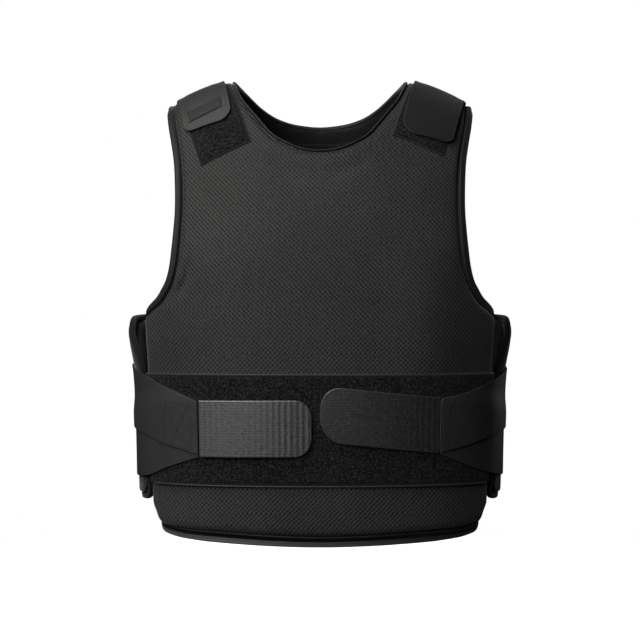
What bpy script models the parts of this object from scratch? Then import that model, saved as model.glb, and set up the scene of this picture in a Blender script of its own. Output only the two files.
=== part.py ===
"""A stab vest, worn over a shirt: padded front and back panels, shoulder straps and a four strap elastic waist.

Every piece is laid on one torso form. Sizes are in millimetres until a mesh is made, and heights are measured
from the underarm line. The front of the vest faces -Y, and its left side, as seen from the front, is at -X.
A place on the form is a reach, measured round the torso from the centre of the front, and a height.
"""

import math
from collections import namedtuple

import bpy
import numpy as np

MM = 0.001
OBJECT_NAME = "stab_vest"
SIDES = (("left", -1), ("right", 1))

# The torso form that the outer faces of both panels follow
Section = namedtuple("Section", "height half_width front_depth back_depth")
TORSO = (
    Section(-270, 204.0, 113, 96),
    Section(-205, 206.5, 118, 98),
    Section(-120, 208.5, 123, 99),
    Section(-60, 211.4, 126, 102),
    Section(-15, 219.4, 127, 106),
    Section(60, 221.5, 127, 112),
    Section(160, 222.0, 124, 114),
    Section(320, 222.0, 118, 110),
)
ROUNDNESS = 2.4  # 2 is an ellipse, more is squarer
SHOULDER_ROLL = 1.8
CHEST_HEIGHT = 40  # above this the form leans in towards the shoulder ridge
RIDGE_AT_CENTRE = 314.3
RIDGE_SLOPE = 0.405
RIDGE_SEAM = 5.0  # the space between the two panels on top of the shoulder
RIDGE_SHARES = (0.955, 0.982, 0.9955, 1.0)  # the last rows of a panel, as shares of the rise to the ridge
SEAT_HEIGHT = 248.0  # the wearer's shoulders under the straps: the origin
RING_STEPS = 360

# Panels
PANEL_THICKNESS = 12.0
EDGE_DROP = 2.0  # how far a padded face falls at its edge
EDGE_THICKNESS = 0.66  # the share of the thickness that is left at the edge
EDGE_FALL = 14.0  # how far in from the edge the fall starts
EDGE_COLUMN = 6.0
FRONT_COLUMNS = 9
BACK_COLUMNS = 8
WING_COLUMNS = 7
SEAM_REACH = 340.0  # where a wing joins the back panel's main part
Edge = namedtuple("Edge", "half_width height")
FRONT_HEM = (
    Edge(0, -237.5),
    Edge(55, -236),
    Edge(100, -233.6),
    Edge(147, -231.3),
    Edge(165, -229.5),
    Edge(175, -227.5),
    Edge(180.5, -224.5),
    Edge(182, -222),
)
FRONT_SIDE = (
    Edge(182, -222),
    Edge(185, -215.5),
    Edge(188.2, -204),
    Edge(188.9, -181),
    Edge(192, -120),
    Edge(195, -59),
    Edge(196.3, -28),
    Edge(198.2, 1.5),
)
FRONT_ARMHOLE = (
    Edge(198.2, 1.5),
    Edge(190, 9.3),
    Edge(183, 14),
    Edge(177, 18.5),
    Edge(171, 27.5),
    Edge(163.8, 40),
    Edge(157.6, 66),
    Edge(153.6, 115),
    Edge(153.5, 143),
    Edge(155.5, 177),
    Edge(160, 204),
    Edge(164.2, 225),
    Edge(166.5, 252),
)
FRONT_NECK = (
    Edge(0, 184.8),
    Edge(20, 187.2),
    Edge(37, 194.0),
    Edge(54.5, 204.5),
    Edge(68, 220.3),
    Edge(77.2, 231.6),
    Edge(86.7, 243.6),
    Edge(93.5, 255),
    Edge(100, 270),
    Edge(102.5, 280),
)
BACK_HEM = (Edge(0, -224), Edge(80, -222), Edge(140, -215), Edge(180, -202), Edge(198, -197))
BACK_ARMHOLE = (
    Edge(200, 1),
    Edge(184, 19),
    Edge(171, 42),
    Edge(162, 72),
    Edge(157, 110),
    Edge(156, 150),
    Edge(158, 190),
    Edge(162.5, 225),
    Edge(166.5, 252),
)
BACK_NECK = (
    Edge(0, 228.5),
    Edge(30.5, 231.6),
    Edge(46.3, 236),
    Edge(56.8, 240.5),
    Edge(70.3, 249.2),
    Edge(80, 257.5),
    Edge(88.5, 265.5),
    Edge(96, 272.2),
    Edge(103, 279),
)
Place = namedtuple("Place", "reach height")
WING_TOP = (
    Place(340, 0),
    Place(318, -1.0),
    Place(300, -2.6),
    Place(285, -8),
    Place(268, -19),
    Place(252, -33),
)
WING_FRONT = (Place(252, -33), Place(241.5, -56), Place(239, -100), Place(239, -160), Place(243, -186))
WING_FOOT = (Place(340, -195), Place(300, -195), Place(266, -194.5), Place(252, -192.5), Place(243, -186))
LINING_GAP = 0.6
LINING_THICKNESS = 1.2

# Tape sewn round the panels: its width on each stretch of edge
BINDING_GAP = 0.7
HemTape = namedtuple("HemTape", "half_width width")
FRONT_HEM_TAPE = (
    HemTape(0, 10.4),
    HemTape(98, 11.0),
    HemTape(124, 10.8),
    HemTape(156, 9.4),
    HemTape(173, 7.2),
    HemTape(180, 3.6),
    HemTape(182, 1.8),
)
SideTape = namedtuple("SideTape", "height width")
FRONT_ARMHOLE_TAPE = (
    SideTape(1.5, 3.0),
    SideTape(9.3, 7.4),
    SideTape(14, 9.0),
    SideTape(18.5, 9.6),
    SideTape(27.5, 9.8),
    SideTape(75, 10.4),
    SideTape(115, 9.4),
    SideTape(225, 9.2),
    SideTape(252, 9.8),
)
BACK_TAPE = 7.0
NECK_TAPE = 2.8
TapeCorner = namedtuple("TapeCorner", "across depth")
TAPE_SECTION = (
    TapeCorner(0.0, -1.9),
    TapeCorner(0.7, -2.3),
    TapeCorner(1.0, -4.2),
    TapeCorner(1.0, -7.2),
    TapeCorner(0.7, -9.2),
    TapeCorner(0.0, -9.7),
)

# Loop pile band across the waist
LAYER_GAP = 0.8
BAND_TOP = -59.0
BAND_FOOT = -179.5
BAND_THICKNESS = 2.2
BAND_INSET = 2.0

# Side straps: where each edge of the elastics runs, from the tab round to the back panel
ELASTIC_THICKNESS = 1.5
ELASTIC_GAP = 0.5  # between the two elastics of a side strap
STEP_LENGTH = 7.0
STRAP_SEAM = 1.0  # the space between an elastic's end and its tab
Course = namedtuple("Course", "reach upper_top upper_foot lower_top lower_foot")
FRONT_COURSE = {
    "left": (
        Course(139.5, -88.2, -147.0, -91, -149.4),
        Course(163, -79.5, -141.0, -94, -156.0),
        Course(187, -71.3, -135.5, -97, -163.5),
        Course(211, -62.0, -127.5, -101, -171.6),
        Course(247, -54.0, -123.0, -105, -175.5),
        Course(284, -49.5, -119.6, -108, -174.0),
    ),
    "right": (
        Course(138.5, -85.0, -144.0, -88, -146.2),
        Course(171, -78.9, -137.8, -92, -158.0),
        Course(190, -73.5, -133.0, -95, -164.0),
        Course(209, -67.4, -128.5, -99, -169.3),
        Course(247, -58.0, -123.5, -105, -174.5),
        Course(284, -53.5, -120.7, -108, -173.5),
    ),
}
BACK_COURSE = (
    Course(330, -49.0, -119.0, -106, -171.0),
    Course(390, -48.0, -118.0, -105, -170.0),
    Course(440, -48.0, -118.0, -105, -170.0),
)
ELASTIC_STEPS = 22
FRONT_REST_END = 205.0  # the elastics lie on the band up to here, then come down onto the wing
WING_REST_START = 250.0

# Tabs that hold the side straps to the band
TAB_THICKNESS = 2.2
TAB_STEPS = 12
Tab = namedtuple("Tab", "end_reach root_reach end_middle root_middle half_height corner")
TABS = {
    "left": Tab(9.0, 138.5, -117.2, -118.0, 31.0, 20.0),
    "right": Tab(0.0, 137.5, -101.0, -114.8, 30.5, 25.0),
}

# Shoulder straps and the patches that they close on, measured down from the ridge
SHOULDER_GAP = 0.6
PATCH_THICKNESS = 1.4
STRAP_THICKNESS = 2.4
STRAP_BACK = 95.0
STRAP_DROP = (5.0, 25.0)  # from the ridge, where the strap leaves the panel and where it lies on the patch
LABEL_THICKNESS = 0.8
CORNER_STEPS = 5
STRIP_COLUMNS = 4
Shoulder = namedtuple("Shoulder", "ridge_x lean half_width start end skew corner")
SHOULDER_STRAPS = {
    "left": Shoulder(137.6, -0.16, 26.3, -STRAP_BACK, 95.0, -5.5, 13.0),
    "right": Shoulder(140.0, -0.17, 26.5, -STRAP_BACK, 113.0, -9.0, 14.0),
}
SHOULDER_PATCHES = {
    "left": Shoulder(141.6, -0.28, 28.0, 25.0, 137.0, 0.0, 0.0),
    "right": Shoulder(140.6, -0.26, 28.0, 25.0, 127.0, -5.0, 0.0),
}
STRAP_LABEL = Shoulder(137.9, -0.16, 18.5, 60.5, 77.0, 0.0, 0.0)

Finish = namedtuple("Finish", "colour roughness")
FINISHES = {
    "mesh_fabric": Finish((0.030, 0.030, 0.031, 1), 0.75),
    "binding_tape": Finish((0.026, 0.026, 0.028, 1), 0.55),
    "lining_fabric": Finish((0.014, 0.014, 0.015, 1), 0.65),
    "loop_pile": Finish((0.012, 0.012, 0.013, 1), 0.95),
    "strap_fabric": Finish((0.042, 0.042, 0.043, 1), 0.70),
    "elastic_webbing": Finish((0.032, 0.032, 0.033, 1), 0.70),
    "ribbed_tab": Finish((0.050, 0.049, 0.047, 1), 0.65),
}


def smooth_at(knots, values, at):
    """A smooth curve's value: cubic between knots, with each knot's slope taken from its neighbours."""
    last = len(knots) - 1
    k = int(min(max(np.searchsorted(knots, at) - 1, 0), last - 1))
    span = knots[k + 1] - knots[k]
    u = min(max((at - knots[k]) / span, 0.0), 1.0)

    def slope(i):
        before, after = max(i - 1, 0), min(i + 1, last)
        return (values[after] - values[before]) / (knots[after] - knots[before])

    ends = values[k] * (2 * u**3 - 3 * u**2 + 1) + values[k + 1] * (3 * u**2 - 2 * u**3)
    return ends + span * (slope(k) * (u**3 - 2 * u**2 + u) + slope(k + 1) * (u**3 - u**2))


def smooth_curve(points, count):
    """Evenly spaced points on a smooth curve through the given ones."""
    points = np.array(points, float)
    knots = np.concatenate([[0], np.cumsum(np.hypot(*np.diff(points, axis=0).T))])
    places = np.linspace(0, knots[-1], count)
    return np.array([[smooth_at(knots, points[:, c], at) for c in (0, 1)] for at in places])


def section(height):
    heights = [row.height for row in TORSO]
    columns = [[row[c] for row in TORSO] for c in (1, 2, 3)]
    return Section(height, *(smooth_at(heights, column, height) for column in columns))


def ridge_height(x):
    return RIDGE_AT_CENTRE - RIDGE_SLOPE * abs(x)


def rise(x, height):
    """How far up a point is from the chest, at 0 or below it, to the shoulder ridge, at 1."""
    return max((height - CHEST_HEIGHT) / (ridge_height(x) - CHEST_HEIGHT), 0.0)


def measured_ring():
    """The turn round the torso and the length of cloth it takes, at the underarm line."""
    ring = section(0)
    turns = np.linspace(0, math.pi, RING_STEPS + 1)
    across = ring.half_width * np.abs(np.sin(turns)) ** (2 / ROUNDNESS)
    depth = np.where(turns <= math.pi / 2, -ring.front_depth, ring.back_depth)
    along = depth * np.abs(np.cos(turns)) ** (2 / ROUNDNESS)
    steps = np.hypot(np.diff(across), np.diff(along))
    return turns, np.concatenate([[0], np.cumsum(steps)])


TURNS, REACHES = measured_ring()
HALF_GIRTH = REACHES[-1]


def half_width_at(reach, height):
    turn = np.interp(abs(reach), REACHES, TURNS)
    return section(height).half_width * math.sin(turn) ** (2 / ROUNDNESS)


def form_point(reach, height):
    """The point of the form's surface at a reach and a height."""
    size = section(height)
    turn = np.interp(abs(reach), REACHES, TURNS)
    x = half_width_at(reach, height)
    spare = math.cos(turn) ** 2 * max(1 - rise(x, height) ** SHOULDER_ROLL, 0)
    least = RIDGE_SEAM / 2 if height > CHEST_HEIGHT else 0
    if turn <= math.pi / 2:
        y = -max(size.front_depth * spare ** (1 / ROUNDNESS), least)
    else:
        y = max(size.back_depth * spare ** (1 / ROUNDNESS), least)
    return np.array([math.copysign(x, reach), y, height])


def form_fit(point):
    """Zero on the form's surface, more outside it."""
    x, y, height = point
    size = section(height)
    depth = size.front_depth if y < 0 else size.back_depth
    width_share = (abs(x) / size.half_width) ** ROUNDNESS
    room = (1 - width_share) * (1 - rise(x, height) ** SHOULDER_ROLL)
    return (abs(y) / depth) ** ROUNDNESS - room


def outward(point):
    """The direction straight out of the form at a point of its surface."""
    step = 0.05
    slope = np.array([form_fit(point + step * axis) - form_fit(point - step * axis) for axis in np.eye(3)])
    return slope / np.linalg.norm(slope)


def lifted(point, lift):
    """A point of the form moved out by a lift, or in where the lift is negative."""
    return point + lift * outward(point)


def reach_of(half_width, height, on_back):
    share = min(half_width / section(height).half_width, 1.0)
    turn = math.asin(share ** (ROUNDNESS / 2))
    return float(np.interp(math.pi - turn if on_back else turn, TURNS, REACHES))


def edge_curve(edges, count, on_back=False):
    """An outline given by half widths and heights, as evenly spaced reaches and heights."""
    points = smooth_curve(edges, count)
    return np.array([[reach_of(x, height, on_back), height] for x, height in points])


def ridge_row(share, reach):
    """The height at which a row crosses a reach, where the row keeps one share of the rise to the ridge."""
    height = CHEST_HEIGHT
    for _ in range(4):
        rise_at_top = ridge_height(half_width_at(reach, height)) - CHEST_HEIGHT
        height = CHEST_HEIGHT + share * rise_at_top
    return height


def crossing(curve, row):
    """Where a row, a height for each reach, crosses an edge curve."""
    gaps = [height - row(reach) for reach, height in curve]
    for k in range(len(curve) - 1):
        if gaps[k] <= 0 <= gaps[k + 1]:
            share = gaps[k] / (gaps[k] - gaps[k + 1] or 1)
            return curve[k] + share * (curve[k + 1] - curve[k])
    return curve[-1] if gaps[-1] < 0 else curve[0]


def panel_rows(centre, flat_heights, hem, neck, outer):
    """The rows of half a panel, from hem to shoulder ridge, each as a height for every reach."""
    hem_reaches, hem_heights = zip(*sorted(map(tuple, hem)))
    top = flat_heights[0]

    def hem_height(reach):
        return float(np.interp(reach, hem_reaches, hem_heights))

    rows = [hem_height]
    for share in (0.1, 0.45):
        rows.append(lambda reach, share=share: hem_height(reach) * (1 - share) + top * share)
    rows += [lambda reach, height=height: height for height in flat_heights]
    shares = [rise(half_width_at(reach, height), height) for reach, height in neck]
    low = shares[0]
    between = [low * k / 4 for k in (1, 2, 3)] + [low * 0.94]
    upper = [share for share in shares if share < RIDGE_SHARES[0] - 0.01] + list(RIDGE_SHARES)
    for share in between + upper:
        rows.append(lambda reach, share=share: ridge_row(share, reach))
    return rows, len(rows) - len(upper)


def panel_grid(rows, neck_row, neck, outer, centre, columns):
    """Half a panel as rows of places, its columns close together along both edges."""
    grid = []
    for k, row in enumerate(rows):
        if k == neck_row:
            inner = neck[0]
        elif k > neck_row:
            inner = crossing(neck, row)
        else:
            inner = np.array([centre, row(centre)])
        end = crossing(outer, row) if k else outer[0]
        length = abs(end[0] - inner[0])
        stops = [0, EDGE_COLUMN / length]
        stops += list(np.linspace(3 * EDGE_COLUMN / length, 1 - 3 * EDGE_COLUMN / length, columns - 3))
        stops += [1 - EDGE_COLUMN / length, 1]
        reaches = [inner[0] + stop * (end[0] - inner[0]) for stop in stops]
        heights = [row(reach) for reach in reaches]
        heights[0], heights[-1] = inner[1], end[1]
        grid.append([np.array(place) for place in zip(reaches, heights)])
    return grid


def wing_grid(seam):
    """The wing forward of the seam, as rows of places that start at the seam's own."""
    top = smooth_curve(WING_TOP, WING_COLUMNS + 1)
    foot = smooth_curve(WING_FOOT, WING_COLUMNS + 1)
    front = smooth_curve(tuple(reversed(WING_FRONT)), len(seam))
    rows = []
    for i, start in enumerate(seam):
        v = i / (len(seam) - 1)
        row = []
        for j in range(1, WING_COLUMNS + 1):
            u = j / WING_COLUMNS
            place = (1 - v) * foot[j] + v * top[j] + (1 - u) * start + u * front[i]
            place -= (1 - u) * ((1 - v) * foot[0] + v * top[0]) + u * ((1 - v) * foot[-1] + v * top[-1])
            row.append(place)
        rows.append(row)
    return rows


def front_grid():
    neck = edge_curve(FRONT_NECK, 9)
    outer = np.concatenate([edge_curve(FRONT_SIDE, 14)[:-1], edge_curve(FRONT_ARMHOLE, 30)])
    hem = edge_curve(FRONT_HEM, 12)
    flat = (BAND_FOOT, (BAND_TOP + BAND_FOOT) / 2, BAND_TOP, -30, FRONT_SIDE[-1].height, 10, 18, 28, CHEST_HEIGHT)
    rows, neck_row = panel_rows(0.0, flat, hem, neck, outer)
    return panel_grid(rows, neck_row, neck, outer, 0.0, FRONT_COLUMNS), neck_row


def back_grid():
    neck = edge_curve(BACK_NECK, 8, on_back=True)
    seam = np.array([[SEAM_REACH, WING_FOOT[0].height], [SEAM_REACH, WING_TOP[0].height]])
    outer = np.concatenate([seam, edge_curve(BACK_ARMHOLE, 28, on_back=True)[1:]])
    hem = edge_curve(BACK_HEM, 12, on_back=True)
    flat = (-165, -125, -85, -45, -20, WING_TOP[0].height, 20, CHEST_HEIGHT)
    rows, neck_row = panel_rows(HALF_GIRTH, flat, hem, neck, outer)
    grid = panel_grid(rows, neck_row, neck, outer, HALF_GIRTH, BACK_COLUMNS)
    seam_rows = [k for k, row in enumerate(grid) if row[-1][1] <= WING_TOP[0].height + 0.01]
    for k, extra in zip(seam_rows, wing_grid([grid[k][-1] for k in seam_rows])):
        grid[k] += extra
    return grid, neck_row


def grid_faces(grid):
    """Vertex numbers of the grid's places, and a four sided face for each cell between two rows."""
    first = np.concatenate([[0], np.cumsum([len(row) for row in grid])])
    faces = []
    for i in range(len(grid) - 1):
        for j in range(min(len(grid[i]), len(grid[i + 1])) - 1):
            faces.append((first[i] + j, first[i] + j + 1, first[i + 1] + j + 1, first[i + 1] + j))
    return faces


def outline_cells(grid, neck_row):
    """The grid's edge as rows and columns: from the hem's centre round to the ridge, and from there down the neck."""
    outer = [(0, j) for j in range(len(grid[0]))]
    for i in range(1, len(grid)):
        longer = len(grid[i - 1]) - len(grid[i])
        outer += [(i - 1, len(grid[i - 1]) - 2 - j) for j in range(longer)]
        outer.append((i, len(grid[i]) - 1))
    neck = [(i, 0) for i in range(len(grid) - 1, neck_row - 1, -1)]
    ridge = [(len(grid) - 1, j) for j in range(len(grid[-1]) - 2, 0, -1)]
    return outer, ridge, neck


def distance_to_edge(points, edge):
    """How far each point is from a polyline."""
    starts, ends = edge[:-1], edge[1:]
    spans = ends - starts
    lengths = np.maximum((spans**2).sum(axis=1), 1e-9)
    nearest = []
    for point in points:
        share = np.clip(((point - starts) * spans).sum(axis=1) / lengths, 0, 1)
        nearest.append(np.linalg.norm(starts + share[:, None] * spans - point, axis=1).min())
    return np.array(nearest)


def finish_material(name):
    """A finish's material, made once and shared by the pieces that have it."""
    material = bpy.data.materials.get(name) or bpy.data.materials.new(name)
    material.use_nodes = True
    shader = material.node_tree.nodes["Principled BSDF"]
    shader.inputs["Base Color"].default_value = FINISHES[name].colour
    shader.inputs["Roughness"].default_value = FINISHES[name].roughness
    material.diffuse_color = FINISHES[name].colour
    return material


def make_piece(name, points, faces, finish):
    """A mesh object from points in millimetres, moved so that the origin is at the shoulder seat."""
    mesh = bpy.data.meshes.new(name)
    seated = [(x * MM, y * MM, (z - SEAT_HEIGHT) * MM) for x, y, z in points]
    mesh.from_pydata(seated, [], [tuple(int(v) for v in face) for face in faces])
    mesh.materials.append(finish_material(finish))
    mesh.shade_smooth()
    mesh.set_sharp_from_angle(angle=math.radians(40))
    piece = bpy.data.objects.new(name, mesh)
    bpy.data.collections[OBJECT_NAME].objects.link(piece)
    return piece


def mirror_across(piece):
    mirror = piece.modifiers.new("other half", "MIRROR")
    mirror.merge_threshold = 0.0001


def thicken(piece, thickness, shares=None):
    """Gives a sheet its thickness, inwards from its outer face."""
    wall = piece.modifiers.new("thickness", "SOLIDIFY")
    wall.thickness = thickness * MM
    wall.offset = -1
    if shares is None:
        return
    group = piece.vertex_groups.new(name="full thickness")
    for index, share in enumerate(shares):
        group.add([index], float(share), "REPLACE")
    wall.vertex_group = group.name


def facing_out(faces, points):
    """The faces, turned round where they would point into the torso."""
    a, b, c = (points[faces[0][k]] for k in (0, 1, 2))
    out = np.cross(b - a, c - a) @ outward(a)
    return faces if out > 0 else [tuple(reversed(face)) for face in faces]


def edge_falls(grid, neck_row):
    """How far each place of a panel has fallen towards its edge, from 0 inside to 1 at the edge."""
    outer, ridge, neck = outline_cells(grid, neck_row)
    edge = np.array([form_point(*grid[i][j]) for i, j in outer + ridge + neck])
    falls = []
    for row in grid:
        near = 1 - np.clip(distance_to_edge([form_point(*place) for place in row], edge) / EDGE_FALL, 0, 1)
        falls.append(1 - np.sqrt(1 - near**2))
    return falls


def make_sheet(name, rows, lifts, thickness, finish, shares=None, mirrored=True):
    """A sheet through rows of places, each lifted off the form to its outer face, with its thickness inside that."""
    flat = [form_point(*place) for row in rows for place in row]
    lifts = np.concatenate(lifts)
    points = [lifted(point, lift) for point, lift in zip(flat, lifts)]
    piece = make_piece(name, points, facing_out(grid_faces(rows), flat), finish)
    if mirrored:
        mirror_across(piece)
    thicken(piece, thickness, shares)
    return piece


def make_panel(name, grid, falls):
    """A padded panel: its two faces, which come together a little along the edge."""
    lifts = [-EDGE_DROP * fall for fall in falls]
    shares = 1 - (1 - EDGE_THICKNESS) * np.concatenate(falls)
    return make_sheet(name, grid, lifts, PANEL_THICKNESS, "mesh_fabric", shares)


def swept_tape(name, points, widths):
    """Tape sewn along a panel's edge: one rounded section swept from end to end."""
    points = np.array(points)
    sides = len(TAPE_SECTION)
    corners = []
    for point, tangent, width in zip(points, np.gradient(points, axis=0), widths):
        normal = outward(point)
        away = np.cross(tangent, normal)
        away /= np.linalg.norm(away)
        for corner in TAPE_SECTION:
            across = BINDING_GAP + corner.across * (width - BINDING_GAP)
            corners.append(point + across * away + corner.depth * normal)
    faces = []
    for i in range(len(points) - 1):
        for j in range(sides):
            k = (j + 1) % sides
            faces.append((i * sides + j, i * sides + k, (i + 1) * sides + k, (i + 1) * sides + j))
    last = (len(points) - 1) * sides
    faces.append(tuple(reversed(range(sides))))
    faces.append(tuple(last + j for j in range(sides)))
    return make_piece(name, corners, faces, "binding_tape")


def both_halves(half):
    """Points or widths of one half and of its mirror image, in one run that ends where the half ends."""
    half = np.array(half)
    flip = np.array([-1, 1, 1]) if half.ndim == 2 else 1
    return np.concatenate([half[:0:-1] * flip, half])


def tape_width(rows, at):
    return float(np.interp(at, [row[0] for row in rows], [row[1] for row in rows]))


def neck_tape(side, grid, neck):
    points = both_halves([form_point(*grid[i][j]) for i, j in reversed(neck)])
    widths = [NECK_TAPE] * len(points)
    swept_tape(f"{side}_neck_binding", points if side == "back" else points[::-1], widths)


def make_front_tapes(grid, neck_row):
    """The tape along the front panel's hem, up each armhole and round its neck."""
    outer, _, neck = outline_cells(grid, neck_row)
    hem = [form_point(*grid[i][j]) for i, j in outer if i == 0]
    hem_widths = [tape_width(FRONT_HEM_TAPE, point[0]) for point in hem]
    swept_tape("front_hem_binding", both_halves(hem), both_halves(hem_widths))
    armhole = [form_point(*grid[i][j]) for i, j in outer if grid[i][j][1] > FRONT_ARMHOLE[0].height - 0.1]
    armhole_widths = [tape_width(FRONT_ARMHOLE_TAPE, point[2]) for point in armhole]
    swept_tape("front_armhole_binding_right", armhole, armhole_widths)
    mirrored = [point * (-1, 1, 1) for point in reversed(armhole)]
    swept_tape("front_armhole_binding_left", mirrored, armhole_widths[::-1])
    neck_tape("front", grid, neck)


def make_back_tapes(grid, neck_row):
    """The tape round the back panel's hem, wings and armholes in one piece, and that of its neck."""
    outer, _, neck = outline_cells(grid, neck_row)
    run = both_halves([form_point(*grid[i][j]) for i, j in outer])[::-1]
    swept_tape("back_edge_binding", run, [BACK_TAPE] * len(run))
    neck_tape("back", grid, neck)


def make_lining(grid, neck_row):
    """The smooth inner cloth of the back panel, set in from the edges."""
    rows, skips = [], []
    for i in range(1, len(grid) - 1):
        skips.append(1 if i > neck_row else 0)
        rows.append(grid[i][skips[-1] : -1])
    first = np.concatenate([[0], np.cumsum([len(row) for row in rows])])
    faces = []
    for i in range(len(rows) - 1):
        last = min(len(rows[k]) + skips[k] for k in (i, i + 1)) - 1
        for j in range(last):
            low, high = first[i] + j - skips[i], first[i + 1] + j - skips[i + 1]
            if j >= skips[i + 1] and j >= skips[i]:
                faces.append((low, low + 1, high + 1, high))
            elif j >= skips[i]:
                faces.append((low, low + 1, high + 1))
    flat = [form_point(*place) for row in rows for place in row]
    points = [lifted(point, -PANEL_THICKNESS - LINING_GAP) for point in flat]
    lining = make_piece("back_lining", points, facing_out(faces, flat), "lining_fabric")
    mirror_across(lining)
    thicken(lining, LINING_THICKNESS)


def make_loop_band(grid, falls):
    """The band of loop pile sewn across the waist, from one side edge of the front panel to the other."""
    rows, lifts = [], []
    for row, fall in zip(grid, falls):
        if not BAND_FOOT - 0.01 <= row[0][1] <= BAND_TOP + 0.01 or row[-1][1] > BAND_TOP + 0.01:
            continue
        share = BAND_INSET / EDGE_COLUMN
        end = row[-1] + share * (row[-2] - row[-1])
        rows.append(row[:-1] + [end])
        lifts.append(LAYER_GAP + BAND_THICKNESS - EDGE_DROP * fall)
    make_sheet("waist_loop_band", rows, lifts, BAND_THICKNESS, "loop_pile")


def eased(start, end, at):
    """0 before start, 1 after end, and a smooth change between them."""
    share = min(max((at - start) / (end - start), 0.0), 1.0)
    return share * share * (3 - 2 * share)


def elastic_rest(reach):
    """How far the lower elastic's underside lies above the panels at a reach."""
    on_band = LAYER_GAP + BAND_THICKNESS + LAYER_GAP
    return on_band + (LAYER_GAP - on_band) * eased(FRONT_REST_END, WING_REST_START, reach)


def make_elastics(side, sign):
    """The two elastic webs of a side strap, from the tab round to the back panel, the upper one over the lower."""
    courses = FRONT_COURSE[side] + BACK_COURSE
    knots = [course.reach for course in courses]
    upper, lower, upper_lifts, lower_lifts = [], [], [], []
    for reach in np.linspace(knots[0] + STRAP_SEAM, knots[-1], ELASTIC_STEPS):
        top, foot, low_top, low_foot = (smooth_at(knots, [c[k] for c in courses], reach) for k in range(1, 5))
        on_top = low_top + STEP_LENGTH + 1
        under = min(on_top, top - 1)
        heights = (foot, min(low_top + 1, under - 1), under, top)
        rest = elastic_rest(reach) + ELASTIC_THICKNESS
        step = ELASTIC_THICKNESS + ELASTIC_GAP
        steps = (step, step, step if on_top > top - 1 else 0, step if on_top > top - 1 else 0)
        upper.append([np.array([sign * reach, height]) for height in heights])
        upper_lifts.append([rest + extra for extra in steps])
        lower.append([np.array([sign * reach, height]) for height in (low_foot, (low_foot + low_top) / 2, low_top)])
        lower_lifts.append([rest] * 3)
    make_sheet(f"upper_elastic_{side}", upper, upper_lifts, ELASTIC_THICKNESS, "elastic_webbing", mirrored=False)
    make_sheet(f"lower_elastic_{side}", lower, lower_lifts, ELASTIC_THICKNESS, "elastic_webbing", mirrored=False)


def rounded_half(half, corner, from_end):
    """The half height of a strip with rounded corners, at a distance from its end."""
    if from_end >= corner:
        return half
    return half - corner + math.sqrt(max(corner**2 - (corner - from_end) ** 2, 0))


def end_stops(length, corner, steps):
    """Distances from a rounded end, close together round its corners."""
    turns = [corner * (1 - math.cos(math.pi / 2 * k / CORNER_STEPS)) for k in range(CORNER_STEPS)]
    return turns + list(np.linspace(corner, length, steps))


def make_tab(side, sign):
    """The stiff tab at the end of a side strap, laid on the band."""
    tab = TABS[side]
    length = tab.root_reach - tab.end_reach
    lift = LAYER_GAP + BAND_THICKNESS + LAYER_GAP + TAB_THICKNESS
    rows = []
    for from_end in end_stops(length, tab.corner, TAB_STEPS):
        share = from_end / length
        middle = tab.end_middle + share * (tab.root_middle - tab.end_middle)
        half = rounded_half(tab.half_height, tab.corner, from_end)
        reach = sign * (tab.end_reach + from_end)
        rows.append([np.array([reach, middle + half * k]) for k in (-1, -1 / 3, 1 / 3, 1)])
    lifts = [[lift] * 4] * len(rows)
    make_sheet(f"hook_tab_{side}", rows, lifts, TAB_THICKNESS, "ribbed_tab", mirrored=False)


def over_shoulder(x, along):
    """The point of the form this far from the ridge at a half width, down the front, or the back where negative."""
    depths = []
    turns = np.linspace(math.pi / 2, 0.15, 60)
    heights = CHEST_HEIGHT + (ridge_height(x) - CHEST_HEIGHT) * np.sin(turns) ** (2 / SHOULDER_ROLL)
    for height in heights:
        size = section(height)
        spare = (1 - (abs(x) / size.half_width) ** ROUNDNESS) * (1 - rise(x, height) ** SHOULDER_ROLL)
        depth = size.front_depth if along > 0 else size.back_depth
        depths.append(depth * spare ** (1 / ROUNDNESS))
    walked = np.concatenate([[0], np.cumsum(np.hypot(np.diff(depths), np.diff(heights)))])
    depth = np.interp(abs(along), walked, depths)
    return np.array([x, -depth if along > 0 else depth, np.interp(abs(along), walked, heights)])


def make_shoulder_strip(name, sign, shape, rest, thickness, finish, step):
    """A strip over the shoulder: its lean takes it towards the neck on the front, and as far the other way behind."""
    length = shape.end - shape.start
    steps = max(round((length - shape.corner) / step), 1) + 1
    if shape.corner:
        stops = end_stops(length, shape.corner, steps)
    else:
        stops = np.linspace(0, length, steps)
    points, flat = [], []
    for from_end in stops:
        along = shape.end - from_end
        half = rounded_half(shape.half_width, shape.corner, from_end)
        for k in range(STRIP_COLUMNS):
            across = 2 * k / (STRIP_COLUMNS - 1) - 1
            x = shape.ridge_x + shape.lean * along * eased(-15, 15, along) + half * across
            point = over_shoulder(x, along + shape.skew * (1 + across) / 2 * eased(0, shape.end, along))
            point[0] *= sign
            flat.append(point)
            points.append(lifted(point, rest(along) + thickness))
    rows = [flat[i : i + STRIP_COLUMNS] for i in range(0, len(flat), STRIP_COLUMNS)]
    strip = make_piece(name, points, facing_out(grid_faces(rows), flat), finish)
    thicken(strip, thickness)


def strap_rest(along):
    """The strap lies on its patch in front, and on the back panel behind the ridge."""
    return SHOULDER_GAP + (PATCH_THICKNESS + SHOULDER_GAP) * eased(*STRAP_DROP, along)


def make_shoulder(side, sign):
    make_shoulder_strip(
        f"shoulder_patch_{side}",
        sign,
        SHOULDER_PATCHES[side],
        lambda along: SHOULDER_GAP,
        PATCH_THICKNESS,
        "loop_pile",
        10,
    )
    make_shoulder_strip(
        f"shoulder_strap_{side}", sign, SHOULDER_STRAPS[side], strap_rest, STRAP_THICKNESS, "strap_fabric", 8
    )


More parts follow.
